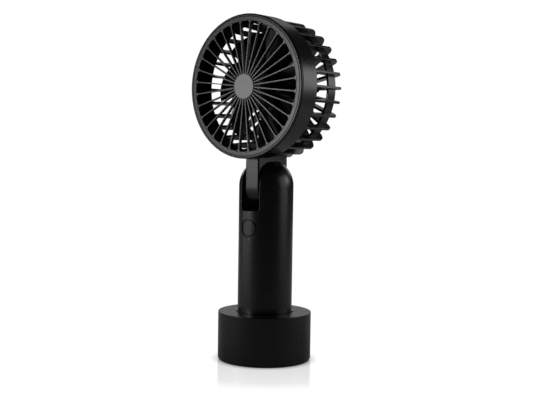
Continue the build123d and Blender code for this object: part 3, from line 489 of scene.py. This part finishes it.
# Rear cage: thirty C-shaped fins round the drum, moulded with a band inside them and with the motor's
# boss. The back is open between the fins, for the air.
FIN_COUNT = 30
FIN_HALF = 0.8
FIN_FRONT_Y = -8.7
FIN_BACK_Y = 22.3
FIN_OUT_R = 44.0
FIN_CORNER_R = 5.0
FIN_ROOT_IN_R = 41.05
FIN_BEND_IN_R = 39.2
FIN_RIB_Y = 15.0
FIN_RIB_IN_R = 14.0
BAND_IN_R = 38.4
BAND_OUT_R = 40.0
BAND_FRONT_Y = 10.8
BAND_BACK_Y = 18.5
BOSS_OUT_R = 15.0
BOSS_IN_R = 13.4
BOSS_FRONT_Y = 12.0
BOSS_FLOOR_Y = 14.0
BOSS_BORE_R = 3.55
STRUT_X = (-1.8, 1.8)
STRUT_Y = (10.7, 16.6)
STRUT_Z = (135.1, 160.9)


def ring_of_copies():
    """One shape, built on the +X side, set round an axis."""
    tree, given, made = new_group(
        "ring of copies",
        "GeometryNodeTree",
        [
            ("Shape", "NodeSocketGeometry", None),
            ("Count", "NodeSocketInt", 30),
            ("First Angle", "NodeSocketFloat", 0.0),
            ("Centre", "NodeSocketVector", (0.0, 0.0, 0.0)),
            ("Axis", "NodeSocketVector", (0.0, -1.0, 0.0)),
            ("Finish", "NodeSocketMaterial", None),
        ],
        [("Ring", "NodeSocketGeometry")],
    )
    step = calc(tree, "DIVIDE", math.tau, given.outputs["Count"])
    index = add(tree, "GeometryNodeInputIndex").outputs[0]
    angle = calc(tree, "MULTIPLY_ADD", index, step, given.outputs["First Angle"])
    turn = add(tree, "FunctionNodeAxisAngleToRotation", {"Axis": given.outputs["Axis"], "Angle": angle})
    centres = {"Count": given.outputs["Count"], "Position": given.outputs["Centre"]}
    spots = add(tree, "GeometryNodePoints", centres)
    copies = add(
        tree,
        "GeometryNodeInstanceOnPoints",
        {"Points": spots.outputs[0], "Instance": given.outputs["Shape"], "Rotation": turn.outputs[0]},
    )
    real = add(tree, "GeometryNodeRealizeInstances", {0: copies.outputs[0]})
    painted = {0: real.outputs[0], "Material": given.outputs["Finish"]}
    finished = add(tree, "GeometryNodeSetMaterial", painted)
    tree.links.new(finished.outputs[0], made.inputs["Ring"])
    return tree


def grow(name, tree, sizes, start=None):
    """Runs a tree of Geometry Nodes once and keeps the result as a plain mesh."""
    made = bpy.data.objects.new(name, start or bpy.data.meshes.new(name))
    bpy.context.collection.objects.link(made)
    rule = made.modifiers.new("rule", "NODES")
    rule.node_group = tree
    for socket in tree.interface.items_tree:
        if socket.in_out == "INPUT" and socket.name in sizes:
            rule[socket.identifier] = sizes[socket.name]
    result = made.evaluated_get(bpy.context.evaluated_depsgraph_get())
    mesh = bpy.data.meshes.new_from_object(result)
    made.modifiers.clear()
    made.data = mesh
    mesh.name = name
    smooth_to(mesh, 30.0)
    return made


ring_tree = ring_of_copies()
fin_outline = [
    (FIN_ROOT_IN_R, FIN_FRONT_Y),
    (FIN_BEND_IN_R, BAND_FRONT_Y),
    (FIN_BEND_IN_R, FIN_RIB_Y),
    (FIN_RIB_IN_R, FIN_RIB_Y),
    (FIN_RIB_IN_R, FIN_BACK_Y),
]
fin_outline += quarter(FIN_OUT_R - FIN_CORNER_R, FIN_BACK_Y - FIN_CORNER_R, FIN_CORNER_R, 1.0, parts=8)
fin_outline += [(FIN_OUT_R, FIN_FRONT_Y)]
fin_corners = [(r * MM, y * MM, z * MM) for z in (-FIN_HALF, FIN_HALF) for r, y in fin_outline]
one_fin = mesh_object("one_fin", fin_corners, prism_faces(len(fin_outline)), satin)
cage_sizes = {"Count": FIN_COUNT, "First Angle": 0.0, "Centre": (0.0, 0.0, FAN_Z), "Finish": satin}
cage_fins = grow("cage_fins", ring_tree, cage_sizes, one_fin.data.copy())
bpy.data.objects.remove(one_fin)
round_edges(cage_fins, 0.3, steps=3, angle=40.0)
band_outline = [
    (BAND_IN_R, BAND_FRONT_Y),
    (BAND_OUT_R, BAND_FRONT_Y),
    (BAND_OUT_R, BAND_BACK_Y),
    (BAND_IN_R, BAND_BACK_Y),
]
cage_band = round_edges(lathe("cage_band", band_outline, satin, lying_at=FAN_Z), 0.2, steps=2)
boss_outline = [
    (BOSS_BORE_R, BOSS_FRONT_Y),
    (BOSS_OUT_R, BOSS_FRONT_Y),
    (BOSS_OUT_R, FIN_BACK_Y),
    (BOSS_IN_R, FIN_BACK_Y),
    (BOSS_IN_R, BOSS_FLOOR_Y),
    (BOSS_BORE_R, BOSS_FLOOR_Y),
]
motor_boss = round_edges(lathe("motor_boss", boss_outline, satin, lying_at=FAN_Z), 0.3)
strut_corners = [(x * MM, y * MM, z * MM) for x in STRUT_X for y in STRUT_Y for z in STRUT_Z]
strut_faces = [(0, 1, 3, 2), (4, 5, 7, 6), (0, 1, 5, 4), (2, 3, 7, 6), (0, 2, 6, 4), (1, 3, 7, 5)]
lead_strut = round_edges(mesh_object("lead_strut", strut_corners, strut_faces, satin), 0.3)
for piece in (cage_fins, cage_band, motor_boss, lead_strut):
    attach(piece, "head")
    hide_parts("head_shell")
finish_with("rear_cap", satin)


# Motor: an outrunner. Six wound poles stay still on a brass bearing tube; a steel cup with a ring
# magnet turns round them and carries the impeller on a ground shaft.
brass = metal("turned brass", (0.72, 0.5, 0.22), 0.25, lay=(1.0, 8.0, 1.0))
core_steel = metal("stacked laminations", (0.34, 0.34, 0.35), 0.45, lay=(0.05, 6.0, 0.05), size=0.4 * MM)
copper = metal(
    "enamelled copper", (0.62, 0.23, 0.09), 0.22, lay=(0.3, 6.0, 0.3), size=0.6 * MM, depth=0.04 * MM
)
magnet = metal("sintered magnet", (0.12, 0.12, 0.125), 0.6, size=0.3 * MM)
finish_with("motor_mount", brass)
finish_with("stator_core", core_steel)
finish_with("stator_coils", copper)
finish_with("magnet_ring", magnet)
finish_with("motor_board", green_board)
finish_with("motor_leads", lead_sheath)
for name in ("motor_bearings", "motor_screws", "rotor_cup", "motor_shaft", "shaft_clip"):
    finish_with(name, plated_steel)


# Impeller: seven twisted blades on a domed hub, moulded in one piece in a black that gives back
# little light. Its black is set darker than the housing's, as painted shade inside the cage.
# The hub is pressed onto the rotor cup.
HUB_R = 13.5
HUB_IN_R = 12.05
HUB_FRONT_Y = -9.0
HUB_FLOOR_Y = -7.6
HUB_BACK_Y = 8.2
HUB_CORNER_R = 2.4


def along_blade(tree, place, root, middle, tip):
    """Smooth value along the blade through those at its root, middle and tip."""
    back = calc(tree, "SUBTRACT", 1.0, place)
    double = calc(tree, "MULTIPLY_ADD", place, 2.0, -1.0)
    root_weight = calc(tree, "MULTIPLY", back, double)
    at_root = calc(tree, "MULTIPLY", root_weight, calc(tree, "MULTIPLY", root, -1.0))
    middle_weight = calc(tree, "MULTIPLY", place, back)
    at_middle = calc(tree, "MULTIPLY", middle_weight, calc(tree, "MULTIPLY", middle, 4.0))
    tip_weight = calc(tree, "MULTIPLY", place, double)
    at_tip = calc(tree, "MULTIPLY", tip_weight, tip)
    return calc(tree, "ADD", calc(tree, "ADD", at_root, at_middle), at_tip)


def impeller_blades():
    """Blades by rule: chord, pitch and lean change from root to tip round a cambered section."""
    varying = ("Radius", "Chord", "Pitch", "Lean", "Height")
    stations = ("Root", "Middle", "Tip")
    sizes = [
        ("Count", "NodeSocketInt", 7),
        ("Thickness", "NodeSocketFloat", 1.2 * MM),
        ("First Angle", "NodeSocketFloat", 0.0),
        ("Camber", "NodeSocketFloat", 0.09),
        ("Finish", "NodeSocketMaterial", None),
    ]
    sizes += [(f"{name} {station}", "NodeSocketFloat", 0.0) for name in varying for station in stations]
    sizes.append(("Centre", "NodeSocketVector", (0.0, 0.0, 0.0)))
    tree, given, made = new_group(
        "impeller blades", "GeometryNodeTree", sizes, [("Blades", "NodeSocketGeometry")]
    )
    slab = add(tree, "GeometryNodeMeshCube", {"Size": (1.0, 1.0, 1.0), "Vertices X": 22, "Vertices Y": 18})
    at = add(tree, "ShaderNodeSeparateXYZ", {0: add(tree, "GeometryNodeInputPosition").outputs[0]})
    place = calc(tree, "ADD", at.outputs["X"], 0.5)
    part = {}
    for name in varying:
        ends = [given.outputs[f"{name} {station}"] for station in stations]
        part[name] = along_blade(tree, place, *ends)
    across = calc(tree, "MULTIPLY", at.outputs["Y"], 2.0)
    crown = calc(tree, "SUBTRACT", 1.0, calc(tree, "MULTIPLY", across, across))
    chordwise = calc(tree, "MULTIPLY", at.outputs["Y"], part["Chord"])
    rise = calc(tree, "MULTIPLY", calc(tree, "MULTIPLY", part["Chord"], given.outputs["Camber"]), crown)
    edge_share = 0.4
    body = calc(tree, "MULTIPLY_ADD", crown, 1.0 - edge_share, edge_share)
    body = calc(tree, "MULTIPLY", calc(tree, "MULTIPLY", body, given.outputs["Thickness"]), at.outputs["Z"])
    lift = calc(tree, "ADD", rise, body)
    cosine = calc(tree, "COSINE", part["Pitch"])
    sine = calc(tree, "SINE", part["Pitch"])
    leant = calc(tree, "MULTIPLY", lift, sine)
    sweep = calc(tree, "SUBTRACT", calc(tree, "MULTIPLY", chordwise, cosine), leant)
    fall = calc(tree, "ADD", calc(tree, "MULTIPLY", chordwise, sine), calc(tree, "MULTIPLY", lift, cosine))
    turn = calc(tree, "ADD", calc(tree, "DIVIDE", sweep, part["Radius"]), part["Lean"])
    spot = add(
        tree,
        "ShaderNodeCombineXYZ",
        {
            "X": calc(tree, "MULTIPLY", part["Radius"], calc(tree, "COSINE", turn)),
            "Y": calc(tree, "SUBTRACT", part["Height"], fall),
            "Z": calc(tree, "MULTIPLY", part["Radius"], calc(tree, "SINE", turn)),
        },
    )
    blade = add(tree, "GeometryNodeSetPosition", {0: slab.outputs[0], "Position": spot.outputs[0]})
    set_round(tree, given, blade, made.inputs["Blades"])
    return tree


def set_round(tree, given, one, result):
    """Sets one piece of a tree round the fan's axis, by the tree's own sizes."""
    around = add(tree, "GeometryNodeGroup", {}, node_tree=ring_tree)
    tree.links.new(one.outputs[0], around.inputs["Shape"])
    for name in ("Count", "First Angle", "Centre", "Finish"):
        tree.links.new(given.outputs[name], around.inputs[name])
    tree.links.new(around.outputs[0], result)


# Darker than the housing's black, as painted shade inside the cage.
fan_black_painted_shade = moulded("impeller plastic", (0.0016, 0.0016, 0.0018), 0.3, grain=0.3 * MM, wear_and_edge_highlight=0.1, dust=0.04)
fan_black_painted_shade.node_tree.nodes["Principled BSDF"].inputs["Specular IOR Level"].default_value = 0.2
blade_sizes = {
    "Count": 7,
    "First Angle": math.radians(6.2),
    "Centre": (0.0, 0.0, FAN_Z),
    "Thickness": 1.2 * MM,
    "Camber": 0.09,
    "Finish": fan_black_painted_shade,
    "Radius Root": 12.9 * MM,
    "Radius Middle": 25.05 * MM,
    "Radius Tip": 37.2 * MM,
    "Chord Root": 14.5 * MM,
    "Chord Middle": 24.0 * MM,
    "Chord Tip": 28.5 * MM,
    "Pitch Root": math.radians(41.5),
    "Pitch Middle": math.radians(27.0),
    "Pitch Tip": math.radians(18.0),
    "Lean Root": 0.0,
    "Lean Middle": math.radians(4.0),
    "Lean Tip": math.radians(11.0),
    "Height Root": 0.6 * MM,
    "Height Middle": 0.8 * MM,
    "Height Tip": 0.6 * MM,
}
blades = round_edges(grow("impeller_blades", impeller_blades(), blade_sizes), 0.25, steps=2, angle=50.0)
hub_outline = [(0.0, HUB_FRONT_Y)]
hub_outline += quarter(HUB_R - HUB_CORNER_R, HUB_FRONT_Y + HUB_CORNER_R, HUB_CORNER_R, -1.0, parts=6)
hub_outline += [
    (HUB_R, HUB_BACK_Y),
    (HUB_IN_R, HUB_BACK_Y),
    (HUB_IN_R, HUB_FLOOR_Y),
    (0.0, HUB_FLOOR_Y),
]
hub = lathe("impeller_hub", hub_outline, fan_black_painted_shade, lying_at=FAN_Z, steps=120)
for piece in (blades, hub):
    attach(piece, "rotor")
    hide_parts("impeller")


# Front grille: thirty-two straight spokes between a face ring and a hub, moulded as one cover whose
# skirt snaps into the drum. A fine groove runs round the face, and each spoke flares into the ring.
SPOKE_COUNT = 32
SPOKE_W = 0.7
SPOKE_D = 2.2
SPOKE_OVERLAP = 0.4
SPOKE_FLARE_R = 1.8
SPOKE_NEAR_R = 6.9
OPENING_R = 40.6
FACE_Y = -23.5
RING_BACK_Y = -22.4
RING_LIP_R = 0.7
SPOKE_BACK_Y = -21.3
SKIRT_OUT_R = 43.05
SKIRT_IN_R = 41.0
SKIRT_BACK_Y = -9.45
GROOVE_R = 43.3
GROOVE_HALF = 0.2
GROOVE_DEPTH = 0.35
CENTRE_R = 8.3
CENTRE_NECK_R = 7.4
CENTRE_FRONT_Y = -23.1
CENTRE_BACK_Y = -19.5


def grille_spokes():
    """Spokes by rule: a straight bar with a flare of the corner radius where it meets the opening."""
    tree, given, made = new_group(
        "grille spokes",
        "GeometryNodeTree",
        [
            ("Count", "NodeSocketInt", 32),
            ("First Angle", "NodeSocketFloat", 0.0),
            ("Width", "NodeSocketFloat", 0.7 * MM),
            ("Depth", "NodeSocketFloat", 2.2 * MM),
            ("Near Radius", "NodeSocketFloat", 7.0 * MM),
            ("Opening Radius", "NodeSocketFloat", 40.6 * MM),
            ("Corner Radius", "NodeSocketFloat", 1.8 * MM),
            ("Overlap", "NodeSocketFloat", 0.4 * MM),
            ("Face", "NodeSocketFloat", -23.5 * MM),
            ("Centre", "NodeSocketVector", (0.0, 0.0, 0.0)),
            ("Finish", "NodeSocketMaterial", None),
        ],
        [("Spokes", "NodeSocketGeometry")],
    )
    bar = add(tree, "GeometryNodeMeshCube", {"Size": (1.0, 1.0, 1.0), "Vertices X": 34, "Vertices Y": 3})
    at = add(tree, "ShaderNodeSeparateXYZ", {0: add(tree, "GeometryNodeInputPosition").outputs[0]})
    back = calc(tree, "SUBTRACT", 0.5, at.outputs["X"])
    place = calc(tree, "SUBTRACT", 1.0, calc(tree, "MULTIPLY", back, back))
    far = calc(tree, "ADD", given.outputs["Opening Radius"], given.outputs["Overlap"])
    reach = calc(tree, "SUBTRACT", far, given.outputs["Near Radius"])
    distance = calc(tree, "MULTIPLY_ADD", place, reach, given.outputs["Near Radius"])
    half = calc(tree, "DIVIDE", given.outputs["Width"], 2.0)
    corner = given.outputs["Corner Radius"]
    inside = calc(tree, "SUBTRACT", given.outputs["Opening Radius"], corner)
    offset = calc(tree, "ADD", half, corner)
    offset_square = calc(tree, "MULTIPLY", offset, offset)
    square = calc(tree, "SUBTRACT", calc(tree, "MULTIPLY", inside, inside), offset_square)
    start = calc(tree, "SQRT", square)
    past = calc(tree, "MAXIMUM", calc(tree, "SUBTRACT", distance, start), 0.0)
    past = calc(tree, "MINIMUM", past, corner)
    left = calc(tree, "SUBTRACT", calc(tree, "MULTIPLY", corner, corner), calc(tree, "MULTIPLY", past, past))
    flare = calc(tree, "SUBTRACT", corner, calc(tree, "SQRT", left))
    width = calc(tree, "MULTIPLY", calc(tree, "ADD", half, flare), 2.0)
    middle = calc(tree, "MULTIPLY_ADD", given.outputs["Depth"], 0.5, given.outputs["Face"])
    spot = add(
        tree,
        "ShaderNodeCombineXYZ",
        {
            "X": distance,
            "Y": calc(tree, "MULTIPLY_ADD", at.outputs["Z"], given.outputs["Depth"], middle),
            "Z": calc(tree, "MULTIPLY", at.outputs["Y"], width),
        },
    )
    spoke = add(tree, "GeometryNodeSetPosition", {0: bar.outputs[0], "Position": spot.outputs[0]})
    set_round(tree, given, spoke, made.inputs["Spokes"])
    return tree


spoke_sizes = {
    "Count": SPOKE_COUNT,
    "First Angle": math.pi / SPOKE_COUNT,
    "Width": SPOKE_W * MM,
    "Depth": SPOKE_D * MM,
    "Near Radius": SPOKE_NEAR_R * MM,
    "Opening Radius": OPENING_R * MM,
    "Corner Radius": SPOKE_FLARE_R * MM,
    "Overlap": SPOKE_OVERLAP * MM,
    "Face": FACE_Y * MM,
    "Centre": (0.0, 0.0, FAN_Z),
    "Finish": satin,
}
spokes = grow("grille_spokes", grille_spokes(), spoke_sizes)
flip = bmesh.new()
flip.from_mesh(spokes.data)
bmesh.ops.recalc_face_normals(flip, faces=flip.faces)
flip.to_mesh(spokes.data)
flip.free()
smooth_to(spokes.data, 40.0)
round_edges(spokes, 0.14, steps=2, angle=50.0)
rim_outline = [
    (OPENING_R, FACE_Y),
    (GROOVE_R - GROOVE_HALF, FACE_Y),
    (GROOVE_R, FACE_Y + GROOVE_DEPTH),
    (GROOVE_R + GROOVE_HALF, FACE_Y),
]
rim_outline += quarter(HEAD_R - RING_LIP_R, FACE_Y + RING_LIP_R, RING_LIP_R, -1.0, parts=5)
rim_outline += [
    (HEAD_R, RING_BACK_Y),
    (SKIRT_OUT_R, RING_BACK_Y),
    (SKIRT_OUT_R, SKIRT_BACK_Y),
    (SKIRT_IN_R, SKIRT_BACK_Y),
    (SKIRT_IN_R, SPOKE_BACK_Y),
    (OPENING_R, SPOKE_BACK_Y),
]
face_ring = lathe("grille_ring", rim_outline, satin, lying_at=FAN_Z, steps=256)
round_edges(face_ring, 0.1, steps=2, angle=40.0)
centre_outline = [
    (0.0, CENTRE_FRONT_Y),
    (CENTRE_R, CENTRE_FRONT_Y),
    (CENTRE_R, SPOKE_BACK_Y),
    (CENTRE_NECK_R, SPOKE_BACK_Y),
    (CENTRE_NECK_R, CENTRE_BACK_Y),
    (0.0, CENTRE_BACK_Y),
]
grille_hub = lathe("grille_hub", centre_outline, satin, lying_at=FAN_Z, steps=96)
round_edges(grille_hub, 0.12, steps=2)
for piece in (spokes, face_ring, grille_hub):
    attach(piece, "head")
    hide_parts("front_grille")


# Badge: a plain disc of satin grey aluminium, pressed into the middle of the grille. Its face is spun,
# so that fine rings run round it.
def spun_disc(name, colour, roughness):
    """Fine rings about the fan's axis."""
    made, tree, shader = new_material(name)
    shader.inputs["Metallic"].default_value = 0.6
    place = own_place(tree)
    centred = add(tree, "ShaderNodeMapping", {"Vector": place, "Location": (0.0, 0.0, -FAN_Z)}).outputs[0]
    flat = add(tree, "ShaderNodeMapping", {"Vector": centred, "Scale": (1.0, 0.0, 1.0)}).outputs[0]
    radius = add(tree, "ShaderNodeVectorMath", {0: flat}, operation="LENGTH").outputs["Value"]
    ring_inputs = {"W": radius, "Scale": 5200.0, "Detail": 3.0}
    rings = add(tree, "ShaderNodeTexNoise", ring_inputs, noise_dimensions="1D").outputs[0]
    cloud = noise(tree, place, scale=300.0, detail=4.0)
    dark = tuple(part * 0.85 for part in colour)
    tree.links.new(dye(tree, cloud, dark, colour), shader.inputs["Base Color"])
    rough = between(tree, rings, low=roughness - 0.05, high=roughness + 0.1)
    tree.links.new(rough, shader.inputs["Roughness"])
    emboss(tree, shader, rings, 0.4, 0.004 * MM)
    return made


finish_with("grille_badge", spun_disc("spun aluminium", (0.2, 0.2, 0.205), 0.42))


# Table: a wide white sheet. It darkens a little where the base stands on it, and shows a faint mirror
# of the base that weakens outwards and ends a few centimetres away.
FLOOR_R = 4.0
FLOOR_SIDES = 96
PAPER_WHITE = 1.02
rim = []
for i in range(FLOOR_SIDES):
    turn = math.tau * i / FLOOR_SIDES
    rim.append((FLOOR_R * math.cos(turn), FLOOR_R * math.sin(turn), 0.0))
sheet_mesh = bpy.data.meshes.new("table_top")
sheet_mesh.from_pydata(rim, [], [tuple(range(FLOOR_SIDES))])
table_top = bpy.data.objects.new("table_top", sheet_mesh)
bpy.context.collection.objects.link(table_top)
white, tree, shader = new_material("white table")
tree.nodes.remove(shader)
path = add(tree, "ShaderNodeLightPath")
away = add(tree, "ShaderNodeVectorMath", {0: own_place(tree)}, operation="LENGTH").outputs["Value"]
weakening = {"Value": away, "From Min": 30.0 * MM, "From Max": 72.0 * MM, "To Min": 0.29, "To Max": 0.18}
near = add(tree, "ShaderNodeMapRange", weakening).outputs[0]
ending = {"Value": away, "From Min": 68.0 * MM, "From Max": 86.0 * MM, "To Min": 1.0, "To Max": 0.0}
fade = add(tree, "ShaderNodeMapRange", ending).outputs[0]
share = calc(tree, "MULTIPLY", near, fade)
shade = add(tree, "ShaderNodeAmbientOcclusion", {"Distance": 6.0 * MM}, samples=8)
glow = add(tree, "ShaderNodeEmission", {"Color": shade.outputs["Color"], "Strength": PAPER_WHITE})
mirror = add(tree, "ShaderNodeBsdfGlossy", {"Color": (1.0, 1.0, 1.0, 1.0), "Roughness": 0.0})
seen = add(tree, "ShaderNodeMixShader", {0: share, 1: glow.outputs[0], 2: mirror.outputs[0]})
lit = add(tree, "ShaderNodeBsdfDiffuse", {"Color": (0.8, 0.8, 0.8, 1.0)})
by_ray = {0: path.outputs["Is Camera Ray"], 1: lit.outputs[0], 2: seen.outputs[0]}
both = add(tree, "ShaderNodeMixShader", by_ray)
tree.links.new(both.outputs[0], tree.nodes["Material Output"].inputs["Surface"])
sheet_mesh.materials.append(white)


# Studio: a white room that is bright to the eye and nearly dark to the plastic, which mirrors soft
# panels instead: two at each side, one above, and a wide one behind that grazes the floor.
VIEW_TURN = math.radians(38.868)
ROOM_IN_PLASTIC = 0.035
world = bpy.data.worlds.new("studio")
bpy.context.scene.world = world
world.use_nodes = True
tree = world.node_tree
path = add(tree, "ShaderNodeLightPath")
bare = calc(tree, "MAXIMUM", path.outputs["Is Camera Ray"], path.outputs["Is Singular Ray"])
strength = between(tree, bare, low=ROOM_IN_PLASTIC, high=PAPER_WHITE)
tree.links.new(strength, tree.nodes["Background"].inputs["Strength"])
tree.nodes["Background"].inputs["Color"].default_value = (1.0, 1.0, 1.0, 1.0)


def soft_panel(name, turn, distance, height, width, tall, brightness, aim_z):
    """Soft light at an angle round from the camera, in degrees, aimed at a height on the fan's axis."""
    lamp = bpy.data.lights.new(name, "AREA")
    lamp.shape = "RECTANGLE"
    lamp.size = width
    lamp.size_y = tall
    lamp.energy = brightness * math.pi * width * tall
    panel = bpy.data.objects.new(name, lamp)
    bpy.context.collection.objects.link(panel)
    angle = VIEW_TURN + math.radians(turn)
    panel.location = (distance * math.sin(angle), -distance * math.cos(angle), height)
    drop = math.atan2(height - aim_z, distance)
    panel.rotation_euler = (math.pi / 2 - drop, 0.0, angle)
    panel.visible_camera = False


soft_panel(
    "left_wide_panel",
    turn=-92.0, distance=0.6, height=0.09, width=0.46, tall=0.32, brightness=0.85, aim_z=0.10,
)
soft_panel(
    "left_bright_panel",
    turn=-69.0, distance=0.6, height=0.20, width=0.20, tall=0.18, brightness=5.8, aim_z=0.17,
)
soft_panel(
    "right_wide_panel",
    turn=80.0, distance=0.6, height=0.25, width=0.40, tall=0.40, brightness=1.0, aim_z=0.14,
)
soft_panel(
    "right_bright_panel",
    turn=103.0, distance=0.6, height=0.28, width=0.20, tall=0.22, brightness=2.4, aim_z=0.17,
)
soft_panel(
    "rear_floor_panel",
    turn=180.0, distance=0.85, height=0.34, width=1.2, tall=0.5, brightness=1.1, aim_z=-4.0,
)
soft_panel(
    "top_panel",
    turn=176.0, distance=0.6, height=0.66, width=0.42, tall=0.30, brightness=0.5, aim_z=0.17,
)


# Camera: a long lens a little above the middle of the fan, turned to the right of the grille. It
# looks down by three degrees and leans by less than one.
VIEW_TILT = math.radians(2.991)
VIEW_ROLL = math.radians(0.834)
VIEW_DISTANCE = 618.16 * MM
AIM_RIGHT = 0.22 * MM
AIM_Z = 102.83 * MM
right = (math.cos(VIEW_TURN), math.sin(VIEW_TURN), 0.0)
back = (
    math.sin(VIEW_TURN) * math.cos(VIEW_TILT),
    -math.cos(VIEW_TURN) * math.cos(VIEW_TILT),
    math.sin(VIEW_TILT),
)
up = (
    back[1] * right[2] - back[2] * right[1],
    back[2] * right[0] - back[0] * right[2],
    back[0] * right[1] - back[1] * right[0],
)
side = [math.cos(VIEW_ROLL) * r + math.sin(VIEW_ROLL) * u for r, u in zip(right, up)]
over = [-math.sin(VIEW_ROLL) * r + math.cos(VIEW_ROLL) * u for r, u in zip(right, up)]
aim = (AIM_RIGHT * right[0], AIM_RIGHT * right[1], AIM_Z)
eye = [aim[i] + VIEW_DISTANCE * back[i] for i in range(3)]
lens = bpy.data.cameras.new("camera")
lens.lens = 64.80
lens.sensor_width = 36.0
lens.clip_start = 0.05
lens.clip_end = 30.0
camera = bpy.data.objects.new("camera", lens)
bpy.context.collection.objects.link(camera)
camera.matrix_world = Matrix(
    [
        (side[0], over[0], back[0], eye[0]),
        (side[1], over[1], back[1], eye[1]),
        (side[2], over[2], back[2], eye[2]),
        (0.0, 0.0, 0.0, 1.0),
    ]
)
bpy.context.scene.camera = camera
bpy.context.scene.view_settings.view_transform = "Standard"
